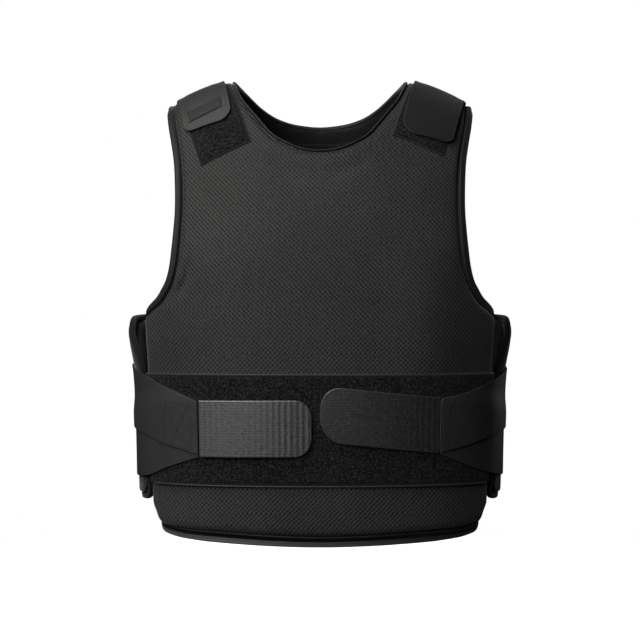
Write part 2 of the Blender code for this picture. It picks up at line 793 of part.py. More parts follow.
def make_strap_label():
    """The small bare label sewn on one shoulder strap."""
    rest = strap_rest(STRAP_LABEL.start) + STRAP_THICKNESS + SHOULDER_GAP
    make_shoulder_strip("strap_label", -1, STRAP_LABEL, lambda along: rest, LABEL_THICKNESS, "strap_fabric", 9)


def clear_scene():
    for thing in list(bpy.data.objects):
        bpy.data.objects.remove(thing, do_unlink=True)


def build():
    clear_scene()
    bpy.context.scene.collection.children.link(bpy.data.collections.new(OBJECT_NAME))
    front, front_neck_row = front_grid()
    front_falls = edge_falls(front, front_neck_row)
    make_panel("front_panel", front, front_falls)
    make_front_tapes(front, front_neck_row)
    make_loop_band(front, front_falls)
    back, back_neck_row = back_grid()
    make_panel("back_panel", back, edge_falls(back, back_neck_row))
    make_back_tapes(back, back_neck_row)
    make_lining(back, back_neck_row)
    for side, sign in SIDES:
        make_elastics(side, sign)
        make_tab(side, sign)
        make_shoulder(side, sign)
    make_strap_label()


build()
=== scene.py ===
"""The looks of a stab vest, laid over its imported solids.

Places on the vest are in millimetres until they go into a mesh. A place is a reach, measured round the torso
from the centre of the front, and a height from the underarm line. The front faces -Y and its left side is at -X.
"""

import math

import bpy
import numpy as np
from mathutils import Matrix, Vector

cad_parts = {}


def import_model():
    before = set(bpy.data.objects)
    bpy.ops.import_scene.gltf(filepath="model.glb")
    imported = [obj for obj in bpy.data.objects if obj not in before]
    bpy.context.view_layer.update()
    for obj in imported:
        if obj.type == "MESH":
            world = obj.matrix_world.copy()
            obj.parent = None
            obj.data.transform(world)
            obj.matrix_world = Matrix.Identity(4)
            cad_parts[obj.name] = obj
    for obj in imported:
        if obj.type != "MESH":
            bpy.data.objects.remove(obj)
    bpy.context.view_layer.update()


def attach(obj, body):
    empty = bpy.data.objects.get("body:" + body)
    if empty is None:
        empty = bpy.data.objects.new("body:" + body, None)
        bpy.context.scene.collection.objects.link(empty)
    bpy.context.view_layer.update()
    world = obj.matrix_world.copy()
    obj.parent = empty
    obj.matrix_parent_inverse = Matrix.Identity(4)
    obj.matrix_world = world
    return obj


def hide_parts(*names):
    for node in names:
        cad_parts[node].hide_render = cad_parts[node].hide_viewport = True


MM = 0.001
SEAT_HEIGHT = 248.0
SIDES = (("left", -1), ("right", 1))
MIRROR = np.array([-1.0, 1, 1])
join = np.concatenate

# The torso form, as in the solids
TORSO_HEIGHTS = (-270, -205, -120, -60, -15, 60, 160, 320)
TORSO_HALF_WIDTHS = (204.0, 206.5, 208.5, 211.4, 219.4, 221.5, 222.0, 222.0)
TORSO_FRONT_DEPTHS = (113, 118, 123, 126, 127, 127, 124, 118)
TORSO_BACK_DEPTHS = (96, 98, 99, 102, 106, 112, 114, 110)
ROUNDNESS = 2.4
SHOULDER_ROLL = 1.8
CHEST_HEIGHT = 40.0
RIDGE_AT_CENTRE = 314.3
RIDGE_SLOPE = 0.405
RIDGE_ROUND = 60.0
RIDGE_SEAM = 5.0

PANEL_THICKNESS = 12.0
EDGE_DROP = 2.0
EDGE_FALL = 14.0
EDGE_THICKNESS = 0.66
EDGE_ROLL = 2.2  # how much further the padded face turns down into the seam
EDGE_ROLL_WIDTH = 7.0
FRONT_HEM = (
    (0, -237.5), (55, -236), (100, -233.6), (147, -231.3), (165, -229.5), (175, -227.5), (180.5, -224.5), (182, -222),
)
FRONT_SIDE = (
    (182, -222), (185, -215.5), (188.2, -204), (188.9, -181), (192, -120), (195, -59), (196.3, -28), (198.2, 1.5),
)
FRONT_ARMHOLE = (
    (198.2, 1.5), (190, 9.3), (183, 14), (177, 18.5), (171, 27.5), (163.8, 40), (157.6, 66), (153.6, 115), (153.5, 143),
    (155.5, 177), (160, 204), (164.2, 225), (166.5, 252),
)
FRONT_NECK = (
    (0, 184.8), (20, 187.2), (37, 194), (54.5, 204.5), (68, 220.3), (77.2, 231.6), (86.7, 243.6), (93.5, 255),
    (100, 270), (102.5, 280),
)
BACK_HEM = ((0, -224), (80, -222), (140, -215), (180, -202), (198, -197))
BACK_ARMHOLE = (
    (200, 1), (184, 19), (171, 42), (162, 72), (157, 110), (156, 150), (158, 190), (162.5, 225), (166.5, 252),
)
BACK_NECK = (
    (0, 228.5), (30.5, 231.6), (46.3, 236), (56.8, 240.5), (70.3, 249.2), (80, 257.5), (88.5, 265.5), (96, 272.2),
    (103, 279),
)
WING_TOP = ((340, 0), (318, -1), (300, -2.6), (285, -8), (268, -19), (252, -33))
WING_FRONT = ((252, -33), (241.5, -56), (239, -100), (235, -160), (230, -178), (229.5, -188))
WING_FOOT = ((340, -195), (300, -195), (266, -195), (246, -194.8), (234.5, -193.4), (229.5, -188))
# creases in the front's cloth: places along each, its half width, its depth and the low roll beside it
CREASES = (
    (((-143, 76), (-147, 57), (-149, 46), (-154.5, 36), (-158, 30), (-164, 17)), 7.0, -3.0, 2.6),
    (((-62, 184), (-33, 166), (0, 159), (33, 166), (62, 184)), 14.0, -1.3, 0.0),
)

# tape sections: across as a share of the width, or in millimetres where negative, and the depth
TAPE_SECTION = (
    (-2.6, -6.4), (-0.5, -5.2), (0.06, -4.2), (0.10, -2.4), (0.16, -1.75), (0.24, -1.7), (0.31, -2.3), (0.5, -2.0),
    (0.78, -2.2), (0.94, -3.0), (1.0, -4.4), (1.0, -7.2), (0.84, -8.9), (0.4, -9.7), (-2.6, -9.2),
)
HEM_SECTION = (
    (-2.6, -6.4), (0.03, -6.3), (0.18, -6.0), (0.28, -5.4), (0.34, -4.2), (0.40, -3.5), (0.5, -3.2), (0.65, -2.7),
    (0.8, -2.0), (0.93, -1.6), (1.0, -2.8), (1.0, -7.0), (0.84, -8.9), (0.4, -9.7), (-2.6, -9.2),
)
TAPE_MIDDLE = -6.2  # the depth that a section shrinks to at a tape's ends
NECK_BRIDGE = ((101.9, -2.6, 273.8), (101.4, 0.0, 276.6), (100.2, 3.0, 276.4))
ARMHOLE_BRIDGE = ((165.4, -2.6, 247.7), (165.0, 0.0, 249.2), (165.4, 2.6, 248.4))
LAP = 5  # how many places two tapes lie inside each other where they meet

LINING_DEPTH = 12.6
LINING_THICKNESS = 1.2
LAYER_GAP = 0.8
BAND_TOP = -59.0
BAND_FOOT = -179.5
BAND_THICKNESS = 2.2

# a reach, then the top and foot of the upper elastic and of the lower one
FRONT_COURSE = {
    "left": (
        (139.5, -88.2, -147.0, -91, -149.4), (163, -79.5, -141.0, -94, -156.0), (187, -71.3, -135.5, -97, -163.5),
        (211, -62.0, -127.5, -101, -171.6), (247, -54.0, -123.0, -105, -175.5), (284, -49.5, -119.6, -108, -174.0),
    ),
    "right": (
        (138.5, -85.0, -144.0, -88, -146.2), (171, -78.9, -137.8, -92, -158.0), (190, -73.5, -133.0, -95, -164.0),
        (209, -67.4, -128.5, -99, -169.3), (247, -58.0, -123.5, -105, -174.5), (284, -53.5, -120.7, -108, -173.5),
    ),
}
BACK_COURSE = (
    (330, -49.0, -119.0, -106, -171.0), (390, -48.0, -118.0, -105, -170.0), (440, -48.0, -118.0, -105, -170.0),
)
ELASTIC_THICKNESS = 1.5
ELASTIC_GAP = 0.5
FRONT_REST_END = 205.0
WING_REST_START = 250.0

TAB_THICKNESS = 2.2
TAB_RIB = 6.8
# end reach, root reach, end middle, root middle, half height, corner
TABS = {"left": (9.0, 138.5, -117.2, -118.0, 31.0, 20.0), "right": (0.0, 137.5, -101.0, -114.8, 30.5, 25.0)}

SHOULDER_GAP = 0.6
PATCH_THICKNESS = 1.4
STRAP_THICKNESS = 2.4
LABEL_THICKNESS = 0.9
STRAP_DROP = (12.0, 26.0)
# half width at the ridge, lean, half width, start, end, skew, corner
SHOULDER_STRAPS = {
    "left": (137.6, -0.16, 26.3, -95.0, 95.0, -5.5, 13.0),
    "right": (139.2, -0.195, 28.0, -95.0, 116.0, -9.0, 14.0),
}
SHOULDER_PATCHES = {
    "left": (141.6, -0.28, 28.0, 25.0, 137.0, 0.0, 0.0),
    "right": (140.6, -0.26, 28.0, 25.0, 127.0, -5.0, 0.0),
}
STRAP_LABEL = (137.9, -0.16, 18.5, 60.5, 77.0, 0.0, 0.0)

STITCH_PITCH = 2.9
STITCH_LENGTH = 2.1
STITCH_RINGS = ((0.0, 0.1), (0.14, 0.75), (0.5, 1.0), (0.86, 0.75), (1.0, 0.1))
# the cross that sews two elastics together: places along each run
CROSS_STITCHES = (
    ((149.0, -92.0), (181.5, -89.6), (184.2, -113.0), (183.8, -131.5)),
    ((149.0, -92.1), (148.6, -142.3)),
    ((151.2, -92.2), (163.0, -114.0), (175.5, -137.8)),
    ((179.5, -95.1), (166.0, -120.0), (150.8, -142.4)),
)

KNIT_PERIOD = 5.3
WHITE = (1, 1, 1, 1)
WARM = (1.0, 0.972, 0.945)
WORLD_LEFT, WORLD_RIGHT = 0.04, 0.0
LIGHTS = (
    ("key_light", (-1.53, -1.38, 0.91), (1.1, 1.1), 17, WARM),
    ("upper_light", (-0.88, -0.84, 1.75), (1.1, 1.1), 20.5, WARM),
    ("front_light", (-0.85, -2.14, 0.52), (1.1, 1.1), 19.5, WHITE[:3]),
    ("back_light", (-0.3, 2.2, 0.5), (1.4, 1.1), 9, WHITE[:3]),
    ("side_light", (1.75, 1.4, 0.1), (0.9, 0.9), 3, WHITE[:3]),
)


# ---- lines and the torso form


def walked(line):
    """How far along a line of points each one is."""
    return join([[0], np.cumsum(np.linalg.norm(np.diff(line, axis=0), axis=1))])


def unit(ways):
    return ways / np.linalg.norm(ways, axis=-1, keepdims=True)


def smooth(knots, values, at):
    """A smooth curve's values: cubic between knots, with each knot's slope taken from its neighbours."""
    knots, values, at = (np.asarray(a, float) for a in (knots, values, at))
    slopes = np.empty(len(knots))
    slopes[1:-1] = (values[2:] - values[:-2]) / (knots[2:] - knots[:-2])
    slopes[0], slopes[-1] = ((values[k + 1] - values[k]) / (knots[k + 1] - knots[k]) for k in (0, -2))
    k = np.clip(np.searchsorted(knots, at) - 1, 0, len(knots) - 2)
    span = knots[k + 1] - knots[k]
    u = np.clip((at - knots[k]) / span, 0, 1)
    ends = values[k] * (2 * u**3 - 3 * u**2 + 1) + values[k + 1] * (3 * u**2 - 2 * u**3)
    return ends + span * (slopes[k] * (u**3 - 2 * u**2 + u) + slopes[k + 1] * (u**3 - u**2))


def smooth_curve(points, count):
    """Evenly spaced points on a smooth curve through the given ones."""
    points = np.array(points, float)
    mirrored = points[0, 0] == 0  # it goes on alike on the other side of the middle
    if mirrored:
        points = join([points[1:2] * (-1, 1), points])
    knots = walked(points)
    places = np.linspace(knots[1] if mirrored else 0, knots[-1], count)
    return np.stack([smooth(knots, column, places) for column in points.T], axis=1)


def resampled(line, places):
    """A line's columns at these distances along its points."""
    return np.stack([np.interp(places, walked(line[:, :3]), column) for column in line.T], axis=1)


def thinned(line, count):
    return line[np.unique(np.linspace(0, len(line) - 1, count).round().astype(int))]


def both_halves(run):
    """A line from one side's end to the middle, and on to the other side's end."""
    return join([run, (run * MIRROR)[::-1][1:]])


def eased(start, end, at):
    """0 before start, 1 after end, and a smooth change between them."""
    share = np.clip((at - start) / (end - start), 0.0, 1.0)
    return share * share * (3 - 2 * share)


def bump(centre, half, at):
    """1 at the centre and 0 from half away, smoothly."""
    return 1 - eased(0, half, np.abs(at - centre))


def rounded(near, width):
    """How far a round edge has turned down: 1 at its end, and 0 from its width inwards."""
    return 1 - np.sqrt(1 - (1 - np.clip(near / width, 0, 1)) ** 2)


def half_width(height):
    return smooth(TORSO_HEIGHTS, TORSO_HALF_WIDTHS, height)


def depth_at(height, behind):
    front, back = (smooth(TORSO_HEIGHTS, depths, height) for depths in (TORSO_FRONT_DEPTHS, TORSO_BACK_DEPTHS))
    return np.where(behind, back, front)


def ridge_height(x):
    """The shoulder ridge's height, rounded where its two slopes would meet over the neck."""
    x = np.abs(x)
    x = np.where(x < RIDGE_ROUND, (x * x + RIDGE_ROUND**2) / (2 * RIDGE_ROUND), x)
    return RIDGE_AT_CENTRE - RIDGE_SLOPE * x


def rise(x, height):
    """How far up a place is from the chest, at 0 or below it, to the shoulder ridge, at 1."""
    return np.maximum((height - CHEST_HEIGHT) / (ridge_height(x) - CHEST_HEIGHT), 0.0)


def measured_ring():
    turns = np.linspace(0, math.pi, 361)
    share = np.abs(np.stack([np.sin(turns), np.cos(turns)])) ** (2 / ROUNDNESS)
    behind = turns > math.pi / 2
    depth = depth_at(0, behind) * np.where(behind, 1, -1)
    return turns, walked(np.stack([half_width(0) * share[0], depth * share[1]], axis=1))


TURNS, REACHES = measured_ring()
HALF_GIRTH = REACHES[-1]


def across_at(reach, height):
    """The half width at a reach and a height."""
    turn = np.interp(np.abs(reach), REACHES, TURNS)
    return half_width(height) * np.abs(np.sin(turn)) ** (2 / ROUNDNESS)


def form(reach, height):
    """Points of the form's surface at these reaches and heights."""
    reach, height = np.broadcast_arrays(np.asarray(reach, float), np.asarray(height, float))
    turn = np.interp(np.abs(reach), REACHES, TURNS)
    behind = turn > math.pi / 2
    x = across_at(reach, height)
    spare = np.cos(turn) ** 2 * np.maximum(1 - rise(x, height) ** SHOULDER_ROLL, 0)
    least = np.where(height > CHEST_HEIGHT, RIDGE_SEAM / 2, 0)
    depth = np.maximum(depth_at(height, behind) * spare ** (1 / ROUNDNESS), least)
    return np.stack([np.copysign(x, reach), np.where(behind, depth, -depth), height], axis=-1)


def form_fit(points):
    """Zero on the form's surface, more outside it."""
    x, y, height = np.moveaxis(points, -1, 0)
    room = (1 - (np.abs(x) / half_width(height)) ** ROUNDNESS) * (1 - rise(x, height) ** SHOULDER_ROLL)
    return (np.abs(y) / depth_at(height, y >= 0)) ** ROUNDNESS - room


def outward(points):
    """The directions straight out of the form at points of its surface."""
    step = 0.05
    slopes = [form_fit(points + step * axis) - form_fit(points - step * axis) for axis in np.eye(3)]
    return unit(np.stack(slopes, axis=-1))


def lifted(points, lift):
    return points + np.asarray(lift, float)[..., None] * outward(points)


def reach_of(x, height, on_back=False):
    turn = np.arcsin(np.minimum(x / half_width(height), 1.0) ** (ROUNDNESS / 2))
    return np.interp(math.pi - turn if on_back else turn, TURNS, REACHES)


def climb(height):
    """How far up the cloth a height is, in millimetres."""
    heights = np.linspace(-260, 300, 281)
    return np.interp(height, heights, walked(form(np.full(281, 90.0), heights)) - 260)


# ---- meshes


def setup(thing, **values):
    """Sets several values of one thing."""
    for name, value in values.items():
        setattr(thing, name, value)
    return thing


def added(name, operator, **values):
    """Runs an operator that adds an object, and names it."""
    bpy.ops.object.select_all(action="DESELECT")
    operator(**values)
    return setup(bpy.context.active_object, name=name)


def only(piece):
    """Selects this piece and nothing else."""
    bpy.ops.object.select_all(action="DESELECT")
    piece.select_set(True)
    bpy.context.view_layer.objects.active = piece


def edit(piece, *steps):
    """Runs each step on the whole mesh of a piece."""
    only(piece)
    bpy.ops.object.mode_set(mode="EDIT")
    for step in steps:
        bpy.ops.mesh.select_all(action="SELECT")
        step()
    bpy.ops.object.mode_set(mode="OBJECT")


def weld():
    bpy.ops.mesh.remove_doubles(threshold=1e-6)


def face_out():
    bpy.ops.mesh.normals_make_consistent(inside=False)


def apply_modifiers(piece):
    only(piece)
    for modifier in list(piece.modifiers):
        bpy.ops.object.modifier_apply(modifier=modifier.name)


def subdivide(piece):
    setup(piece.modifiers.new("smoothing", "SUBSURF"), levels=1, render_levels=1)
    apply_modifiers(piece)


def mirror(piece):
    setup(piece.modifiers.new("other half", "MIRROR"), merge_threshold=1e-4)


def shade_smooth(piece, angle=50):
    only(piece)
    bpy.ops.object.shade_smooth_by_angle(angle=math.radians(angle))


def seated(points):
    """Millimetres from the underarm line to metres from the shoulder seat."""
    return (np.asarray(points, float) - (0, 0, SEAT_HEIGHT)) * MM


def unseated(points):
    return np.asarray(points, float) / MM + (0, 0, SEAT_HEIGHT)


def corners_of(piece):
    flat = np.empty(len(piece.data.vertices) * 3, np.float32)
    piece.data.vertices.foreach_get("co", flat)
    return flat.reshape(-1, 3).astype(float)


def move_corners(piece, points):
    piece.data.vertices.foreach_set("co", np.asarray(points, np.float32).ravel())
    piece.data.update()


def laid_grid(name, points, closed=False):
    """A grid laid through rows of points. Closed joins its last column to the first and shuts both ends."""
    points = np.asarray(points, float)
    if closed:
        points = join([points, points[:, :1]], axis=1)
    rows, columns = points.shape[:2]
    piece = added(name, bpy.ops.mesh.primitive_grid_add, x_subdivisions=columns - 1, y_subdivisions=rows - 1, size=1)
    piece.data.name = name
    move_corners(piece, seated(points.reshape(-1, 3)))
    if closed:
        edit(piece, weld, lambda: bpy.ops.mesh.fill_holes(sides=0), face_out)
    return piece


def faces_of(piece):
    """The middles, in millimetres, and the directions of a piece's faces."""
    middles, ways = np.empty((2, len(piece.data.polygons) * 3), np.float32)
    piece.data.polygons.foreach_get("center", middles)
    piece.data.polygons.foreach_get("normal", ways)
    return unseated(middles.reshape(-1, 3)), ways.reshape(-1, 3)


def turn_outwards(piece):
    """Turns an open sheet round where its faces point into the torso."""
    middles, ways = faces_of(piece)
    if (ways * outward(middles)).sum() < 0:
        edit(piece, bpy.ops.mesh.flip_normals)


def note(piece, name, values):
    """Keeps a value, or a vector, for each corner, for a material to read."""
    values = np.asarray(values, np.float32).reshape(len(piece.data.vertices), -1)
    if values.shape[1] == 1:
        piece.data.attributes.new(name, "FLOAT", "POINT").data.foreach_set("value", values.ravel())
        return
    full = np.zeros((len(values), 3), np.float32)
    full[:, : values.shape[1]] = values
    piece.data.attributes.new(name, "FLOAT_VECTOR", "POINT").data.foreach_set("vector", full.ravel())


def noted(piece, name, kind="value", width=1):
    values = np.empty(len(piece.data.vertices) * width, np.float32)
    piece.data.attributes[name].data.foreach_get(kind, values)
    return values


def weigh(piece, name, shares):
    """Gives a piece a vertex group with each corner's share."""
    group = piece.vertex_groups.new(name=name)
    for index, share in enumerate(shares):
        if share > 0:
            group.add([index], float(share), "REPLACE")


def walled(piece, thickness, shares=None):
    """Gives a sheet its thickness inwards, or a share of it at each corner."""
    wall = setup(piece.modifiers.new("thickness", "SOLIDIFY"), thickness=thickness * MM, offset=-1)
    if shares is not None:
        weigh(piece, "full thickness", shares)
        wall.vertex_group = "full thickness"
    apply_modifiers(piece)


RIM_STOPS = (0, 0.2, 0.5, 0.9, 1.4, 2.1, 3.0)  # lines of corners next to a rim, in millimetres from it


def rim_shares(width, count):
    """Places across a strip, from 0 to 1, close together next to both rims."""
    rim = np.array(RIM_STOPS) / width
    return join([rim, np.linspace(rim[-1], 1 - rim[-1], count)[1:-1], 1 - rim[::-1]])


def rim_turn(near, radius):
    """How far a face has turned down, this near to its rim."""
    return radius * rounded(near, radius)


def finish_piece(piece, node, material):
    piece.data.materials.clear()
    piece.data.materials.append(material)
    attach(piece, "root")
    if node:
        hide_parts(node)
    return piece


def laid_sheet(name, node, slot, material, points, thickness, shares=None, halved=False, **notes):
    """A sheet of cloth laid through rows of points, with its notes, thickened inwards."""
    piece = laid_grid(name, points)
    turn_outwards(piece)
    for key, values in notes.items():
        note(piece, key, values)
    if halved:
        mirror(piece)
    walled(piece, thickness, shares)
    shade_smooth(piece)
    return finish_piece(piece, node, material)


# ---- padded panels


class Half:
    """Half a panel, between a hem, an inner edge and an outer edge, with a level for each row: 0 at the hem, 1 at the
    first flat row, 2 at the chest and 3 at the shoulder ridge."""

    def __init__(self, centre, first_flat, hem, neck, outer):
        self.centre, self.first_flat = centre, first_flat
        self.hem = hem[np.argsort(hem[:, 0])]
        self.neck, self.outer = neck, outer
        self.neck_levels = self.levels(neck)
        self.outer_levels = np.maximum.accumulate(self.levels(outer))

    def hem_height(self, reach):
        return np.interp(np.abs(reach), self.hem[:, 0], self.hem[:, 1])

    def levels(self, places):
        reach, height = places.T
        hem = self.hem_height(reach)
        low = (height - hem) / (self.first_flat - hem)
        flat = 1 + (height - self.first_flat) / (CHEST_HEIGHT - self.first_flat)
        high = 2 + rise(across_at(reach, height), height)
        return np.where(height < self.first_flat, low, np.where(height < CHEST_HEIGHT, flat, high))

    def heights(self, level, reach):
        if level <= 1:
            return self.hem_height(reach) * (1 - level) + self.first_flat * level
        if level <= 2:
            return np.full(np.shape(reach), self.first_flat + (level - 1) * (CHEST_HEIGHT - self.first_flat))
        height = np.full(np.shape(reach), CHEST_HEIGHT)
        for _ in range(5):  # closes in on one share of the rise to the ridge
            height = CHEST_HEIGHT + (level - 2) * (ridge_height(across_at(reach, height)) - CHEST_HEIGHT)
        return height

    def end(self, level):
        return np.interp(level, self.outer_levels, self.outer[:, 0])

    def start(self, level):
        return np.interp(level, self.neck_levels, self.neck[:, 0]) if level > self.neck_levels[0] else self.centre

    def row(self, level, reach):
        return np.stack([reach, self.heights(level, reach)], axis=-1)


def traced(points, count, on_back=False):
    """A smooth curve through places seen from the front, as reaches and heights."""
    x, height = smooth_curve(points, count).T
    return np.stack([reach_of(x, height, on_back), height], axis=1)


def front_half():
    outer = join([traced(FRONT_SIDE, 120)[:-1], traced(FRONT_ARMHOLE, 160)])
    return Half(0.0, BAND_FOOT, traced(FRONT_HEM, 60), traced(FRONT_NECK, 120), outer)


def back_half():
    neck, armhole, hem = (traced(curve, 120, True) for curve in (BACK_NECK, BACK_ARMHOLE, BACK_HEM))
    foot = smooth_curve(WING_FOOT, 60)
    front, top = (smooth_curve(curve[::-1], 80) for curve in (WING_FRONT, WING_TOP))
    return Half(HALF_GIRTH, -165.0, join([hem, foot]), neck, join([front, top[1:], armhole[1:]]))


def spaced_levels(half, pitch):
    """Row levels about a pitch apart on the cloth, with more of them where an edge runs almost level."""
    levels = []
    reach = np.full(1, 0.35 * (half.outer[0, 0] + half.outer[-1, 0]) if half.centre == 0 else HALF_GIRTH - 120)
    for first in (0, 1, 2):
        fine = np.linspace(first, first + 1, 200)
        far = walked(np.array([form(reach, half.heights(level, reach))[0] for level in fine]))
        count = max(round(far[-1] / pitch), 2)
        levels += list(np.interp(np.linspace(0, far[-1], count + 1), far, fine)[: -1 if first < 2 else None])
    for curve, curve_levels in ((half.neck, half.neck_levels), (half.outer, half.outer_levels)):
        far = walked(curve)
        for level in np.interp(np.arange(0, far[-1], 2.2 * pitch), far, curve_levels):
            if min(abs(level - other) for other in levels) > 0.004:
                levels.append(level)
    neck = half.neck_levels[0]
    levels = [level for level in sorted(levels) if abs(level - neck) > 0.002]
    kept = levels[:1]
    for level in levels[1:]:
        if level - kept[-1] > 0.0035:
            kept.append(level)
    kept[-1] = 3.0
    return sorted(kept + [neck])


def distance_to(points, line):
    """The distances of an array of points from a line."""
    flat = points.reshape(-1, points.shape[-1])
    nearest = np.full(len(flat), 1e9)
    for start, span in zip(line[:-1], np.diff(line, axis=0)):
        share = np.clip(((flat - start) @ span) / max((span**2).sum(), 1e-9), 0, 1)
        nearest = np.minimum(nearest, np.linalg.norm(start + share[:, None] * span - flat, axis=1))
    return nearest.reshape(points.shape[:-1])


def soften(piece, pinned, most):
    """Fills the padding with a little pressure, and lets no point move further than most, in millimetres."""
    start = corners_of(piece)
    weigh(piece, "sewn", pinned)
    cloth = piece.modifiers.new("padding", "CLOTH")
    setup(
        cloth.settings, quality=4, mass=0.3, tension_stiffness=20, compression_stiffness=20, bending_stiffness=2.0,
        use_pressure=True, uniform_pressure_force=4, vertex_group_mass="sewn", pin_stiffness=2.0,
    )
    cloth.settings.effector_weights.gravity = 0
    setup(cloth.collision_settings, use_collision=False, use_self_collision=False)
    for frame in range(1, 21):
        bpy.context.scene.frame_set(frame)
    apply_modifiers(piece)
    bpy.context.scene.frame_set(1)
    moved = corners_of(piece) - start
    length = np.linalg.norm(moved, axis=1, keepdims=True)
    move_corners(piece, start + moved * np.minimum(1, most * MM / np.maximum(length, 1e-9)))


def panel_halves(name, half, pitch, columns):
    """Both halves of a panel in one sheet of faces, with its thickness."""
    stops = np.linspace(0, 1, columns)
    rows = []
    for level in spaced_levels(half, pitch):
        start = half.start(level)
        rows.append(half.row(level, start + stops * (half.end(level) - start)))
    reach, height = np.moveaxis(np.array(rows), -1, 0)
    flat = form(reach, height)
    outer = join([half.hem if half.centre == 0 else half.hem[::-1], half.outer])
    near = np.minimum(*(distance_to(flat, form(*thinned(line, 150).T)) for line in (outer, half.neck)))
    fall = rounded(near, EDGE_FALL)
    if half.centre:
        soft = 0.5 - 0.4 * eased(-150, -180, height) * eased(200, 225, reach)
    else:  # the low sides and the shoulder's outer corner turn down less
        soft = 1 - 0.6 * eased(150, 175, reach) * eased(-212, -203, height) * eased(-120, -150, height)
        soft = soft - 0.85 * eased(0.93, 0.99, rise(across_at(reach, height), height)) * eased(95, 120, reach)
    piece = laid_grid(name, lifted(flat, -soft * (EDGE_DROP * fall + EDGE_ROLL * rounded(near, EDGE_ROLL_WIDTH))))
    note(piece, "near_edge", near)
    along = (reach - half.centre) * half_width(height) / half_width(0)
    note(piece, "cloth", np.stack([along, climb(height)], axis=-1))
    # painted shade: the knit's colour darkens next to its edges, to near black above the front hem, where shade falls
    # in the seams
    at_hem = eased(-185, -205, height)
    painted_shade_strength = (0.65 if half.centre == 0 else 0.4) * (1 - at_hem) + 0.97 * at_hem
    note(piece, "seam_painted_shade", painted_shade_strength * (1 - eased(0.5, 7 - 3.6 * at_hem, near)))
    turn_outwards(piece)
    mirror(piece)
    walled(piece, PANEL_THICKNESS, (1 - (1 - EDGE_THICKNESS) * fall).ravel())
    return piece


def make_panel(name, node, half, pitch, columns, materials, shape=None):
    piece = panel_halves(name, half, pitch, columns)
    near = noted(piece, "near_edge")
    soften(piece, np.where(near < 5, 1.0, np.clip(1.6 - near / 9, 0, 1)), 2.5)
    if shape:
        shape(piece)
    subdivide(piece)
    cloth = noted(piece, "cloth", "vector", 3)
    cloth[::3] *= np.where(corners_of(piece)[:, 0] < 0, -1, 1)
    piece.data.attributes["cloth"].data.foreach_set("vector", cloth)
    shade_smooth(piece, 60)
    finish_piece(piece, node, materials[0])
    for material in materials[1:]:
        piece.data.materials.append(material)
    middles, ways = faces_of(piece)
    facing = (ways * outward(middles)).sum(axis=1)
    # faces turned sideways, the walls in the seams, take the third cloth, a near-black painted shade; faces turned
    # inwards take the inner cloth
    slots = np.where(facing < -0.3, 1, np.where(facing < 0.5, 2, 0))
    piece.data.polygons.foreach_set("material_index", slots.astype(np.int32))


def shape_chest(piece):
    """A crease by one armhole, a fuller side by the other and a shallow scoop below the neck."""
    points = unseated(corners_of(piece))
    x, _, height = points.T
    places = np.stack([np.sign(x) * reach_of(np.abs(x), height), height], axis=-1)
    lift = 4.4 * bump(122, 64, places[:, 0]) * bump(10, 130, height)
    for line, half, depth, roll in CREASES:
        line = smooth_curve(line, 40)
        gap = distance_to(places, line)
        held = eased(0, 22, np.minimum(*(np.linalg.norm(places - end, axis=1) for end in line[[0, -1]])))
        outside = np.abs(places[:, 0]) > np.interp(height, line[::-1, 1], np.abs(line[::-1, 0]))
        lift += depth * bump(0, half, gap) * held + roll * bump(half, half, gap) * held * outside
    move_corners(piece, seated(lifted(points, lift * eased(2, 14, noted(piece, "near_edge").astype(float)))))


# ---- tapes


def swept_tape(name, node, line, widths, material, normals, taper, section=TAPE_SECTION, tuck=0.0):
    """Tape folded over an edge: a soft section swept along it. Its first corners tuck in under the panel's seam."""
    away = unit(np.cross(np.gradient(line, axis=0), normals))
    far = walked(line)
    full = eased(-0.5 * taper, taper, np.minimum(far, far[-1] - far))[:, None]
    line = line - (1 - full) * (tuck * away + 2.0 * normals)
    rows = []
    for across, depth in section:
        wide = across if across < 0 else 0.7 + across * (widths[:, None] - 0.7)
        rows.append(line + wide * full * away + (TAPE_MIDDLE + (depth - TAPE_MIDDLE) * full) * normals)
    piece = laid_grid(name, np.stack(rows, axis=1), closed=True)
    subdivide(piece)
    shade_smooth(piece, 60)
    return finish_piece(piece, node, material)


def over_ridge(front_edge, back_edge, tops, bridge):
    """An edge's line over the shoulder ridge from front to back, its normals, and where it meets the ridge."""
    up = form(*front_edge[front_edge[:, 1] < tops[0]].T)
    down = form(*back_edge[back_edge[:, 1] < tops[1]].T)[::-1]
    over = np.array([(0, -0.5, 0.87), (0, 0, 1), (0, 0.5, 0.87)])
    both = join([join([up, bridge, down]), 10 * join([outward(up), over, outward(down)])], axis=1)
    length = walked(both[:, :3])[-1]
    both = resampled(both, np.linspace(0, length, int(length / 2.9)))
    for _ in range(3):  # rounds its corners off
        both = join([both[:1], (both[:-2] + 2 * both[1:-1] + both[2:]) / 4, both[-1:]])
    return both[:, :3], unit(both[:, 3:]), int(np.argmax(both[:, 1] > 0))


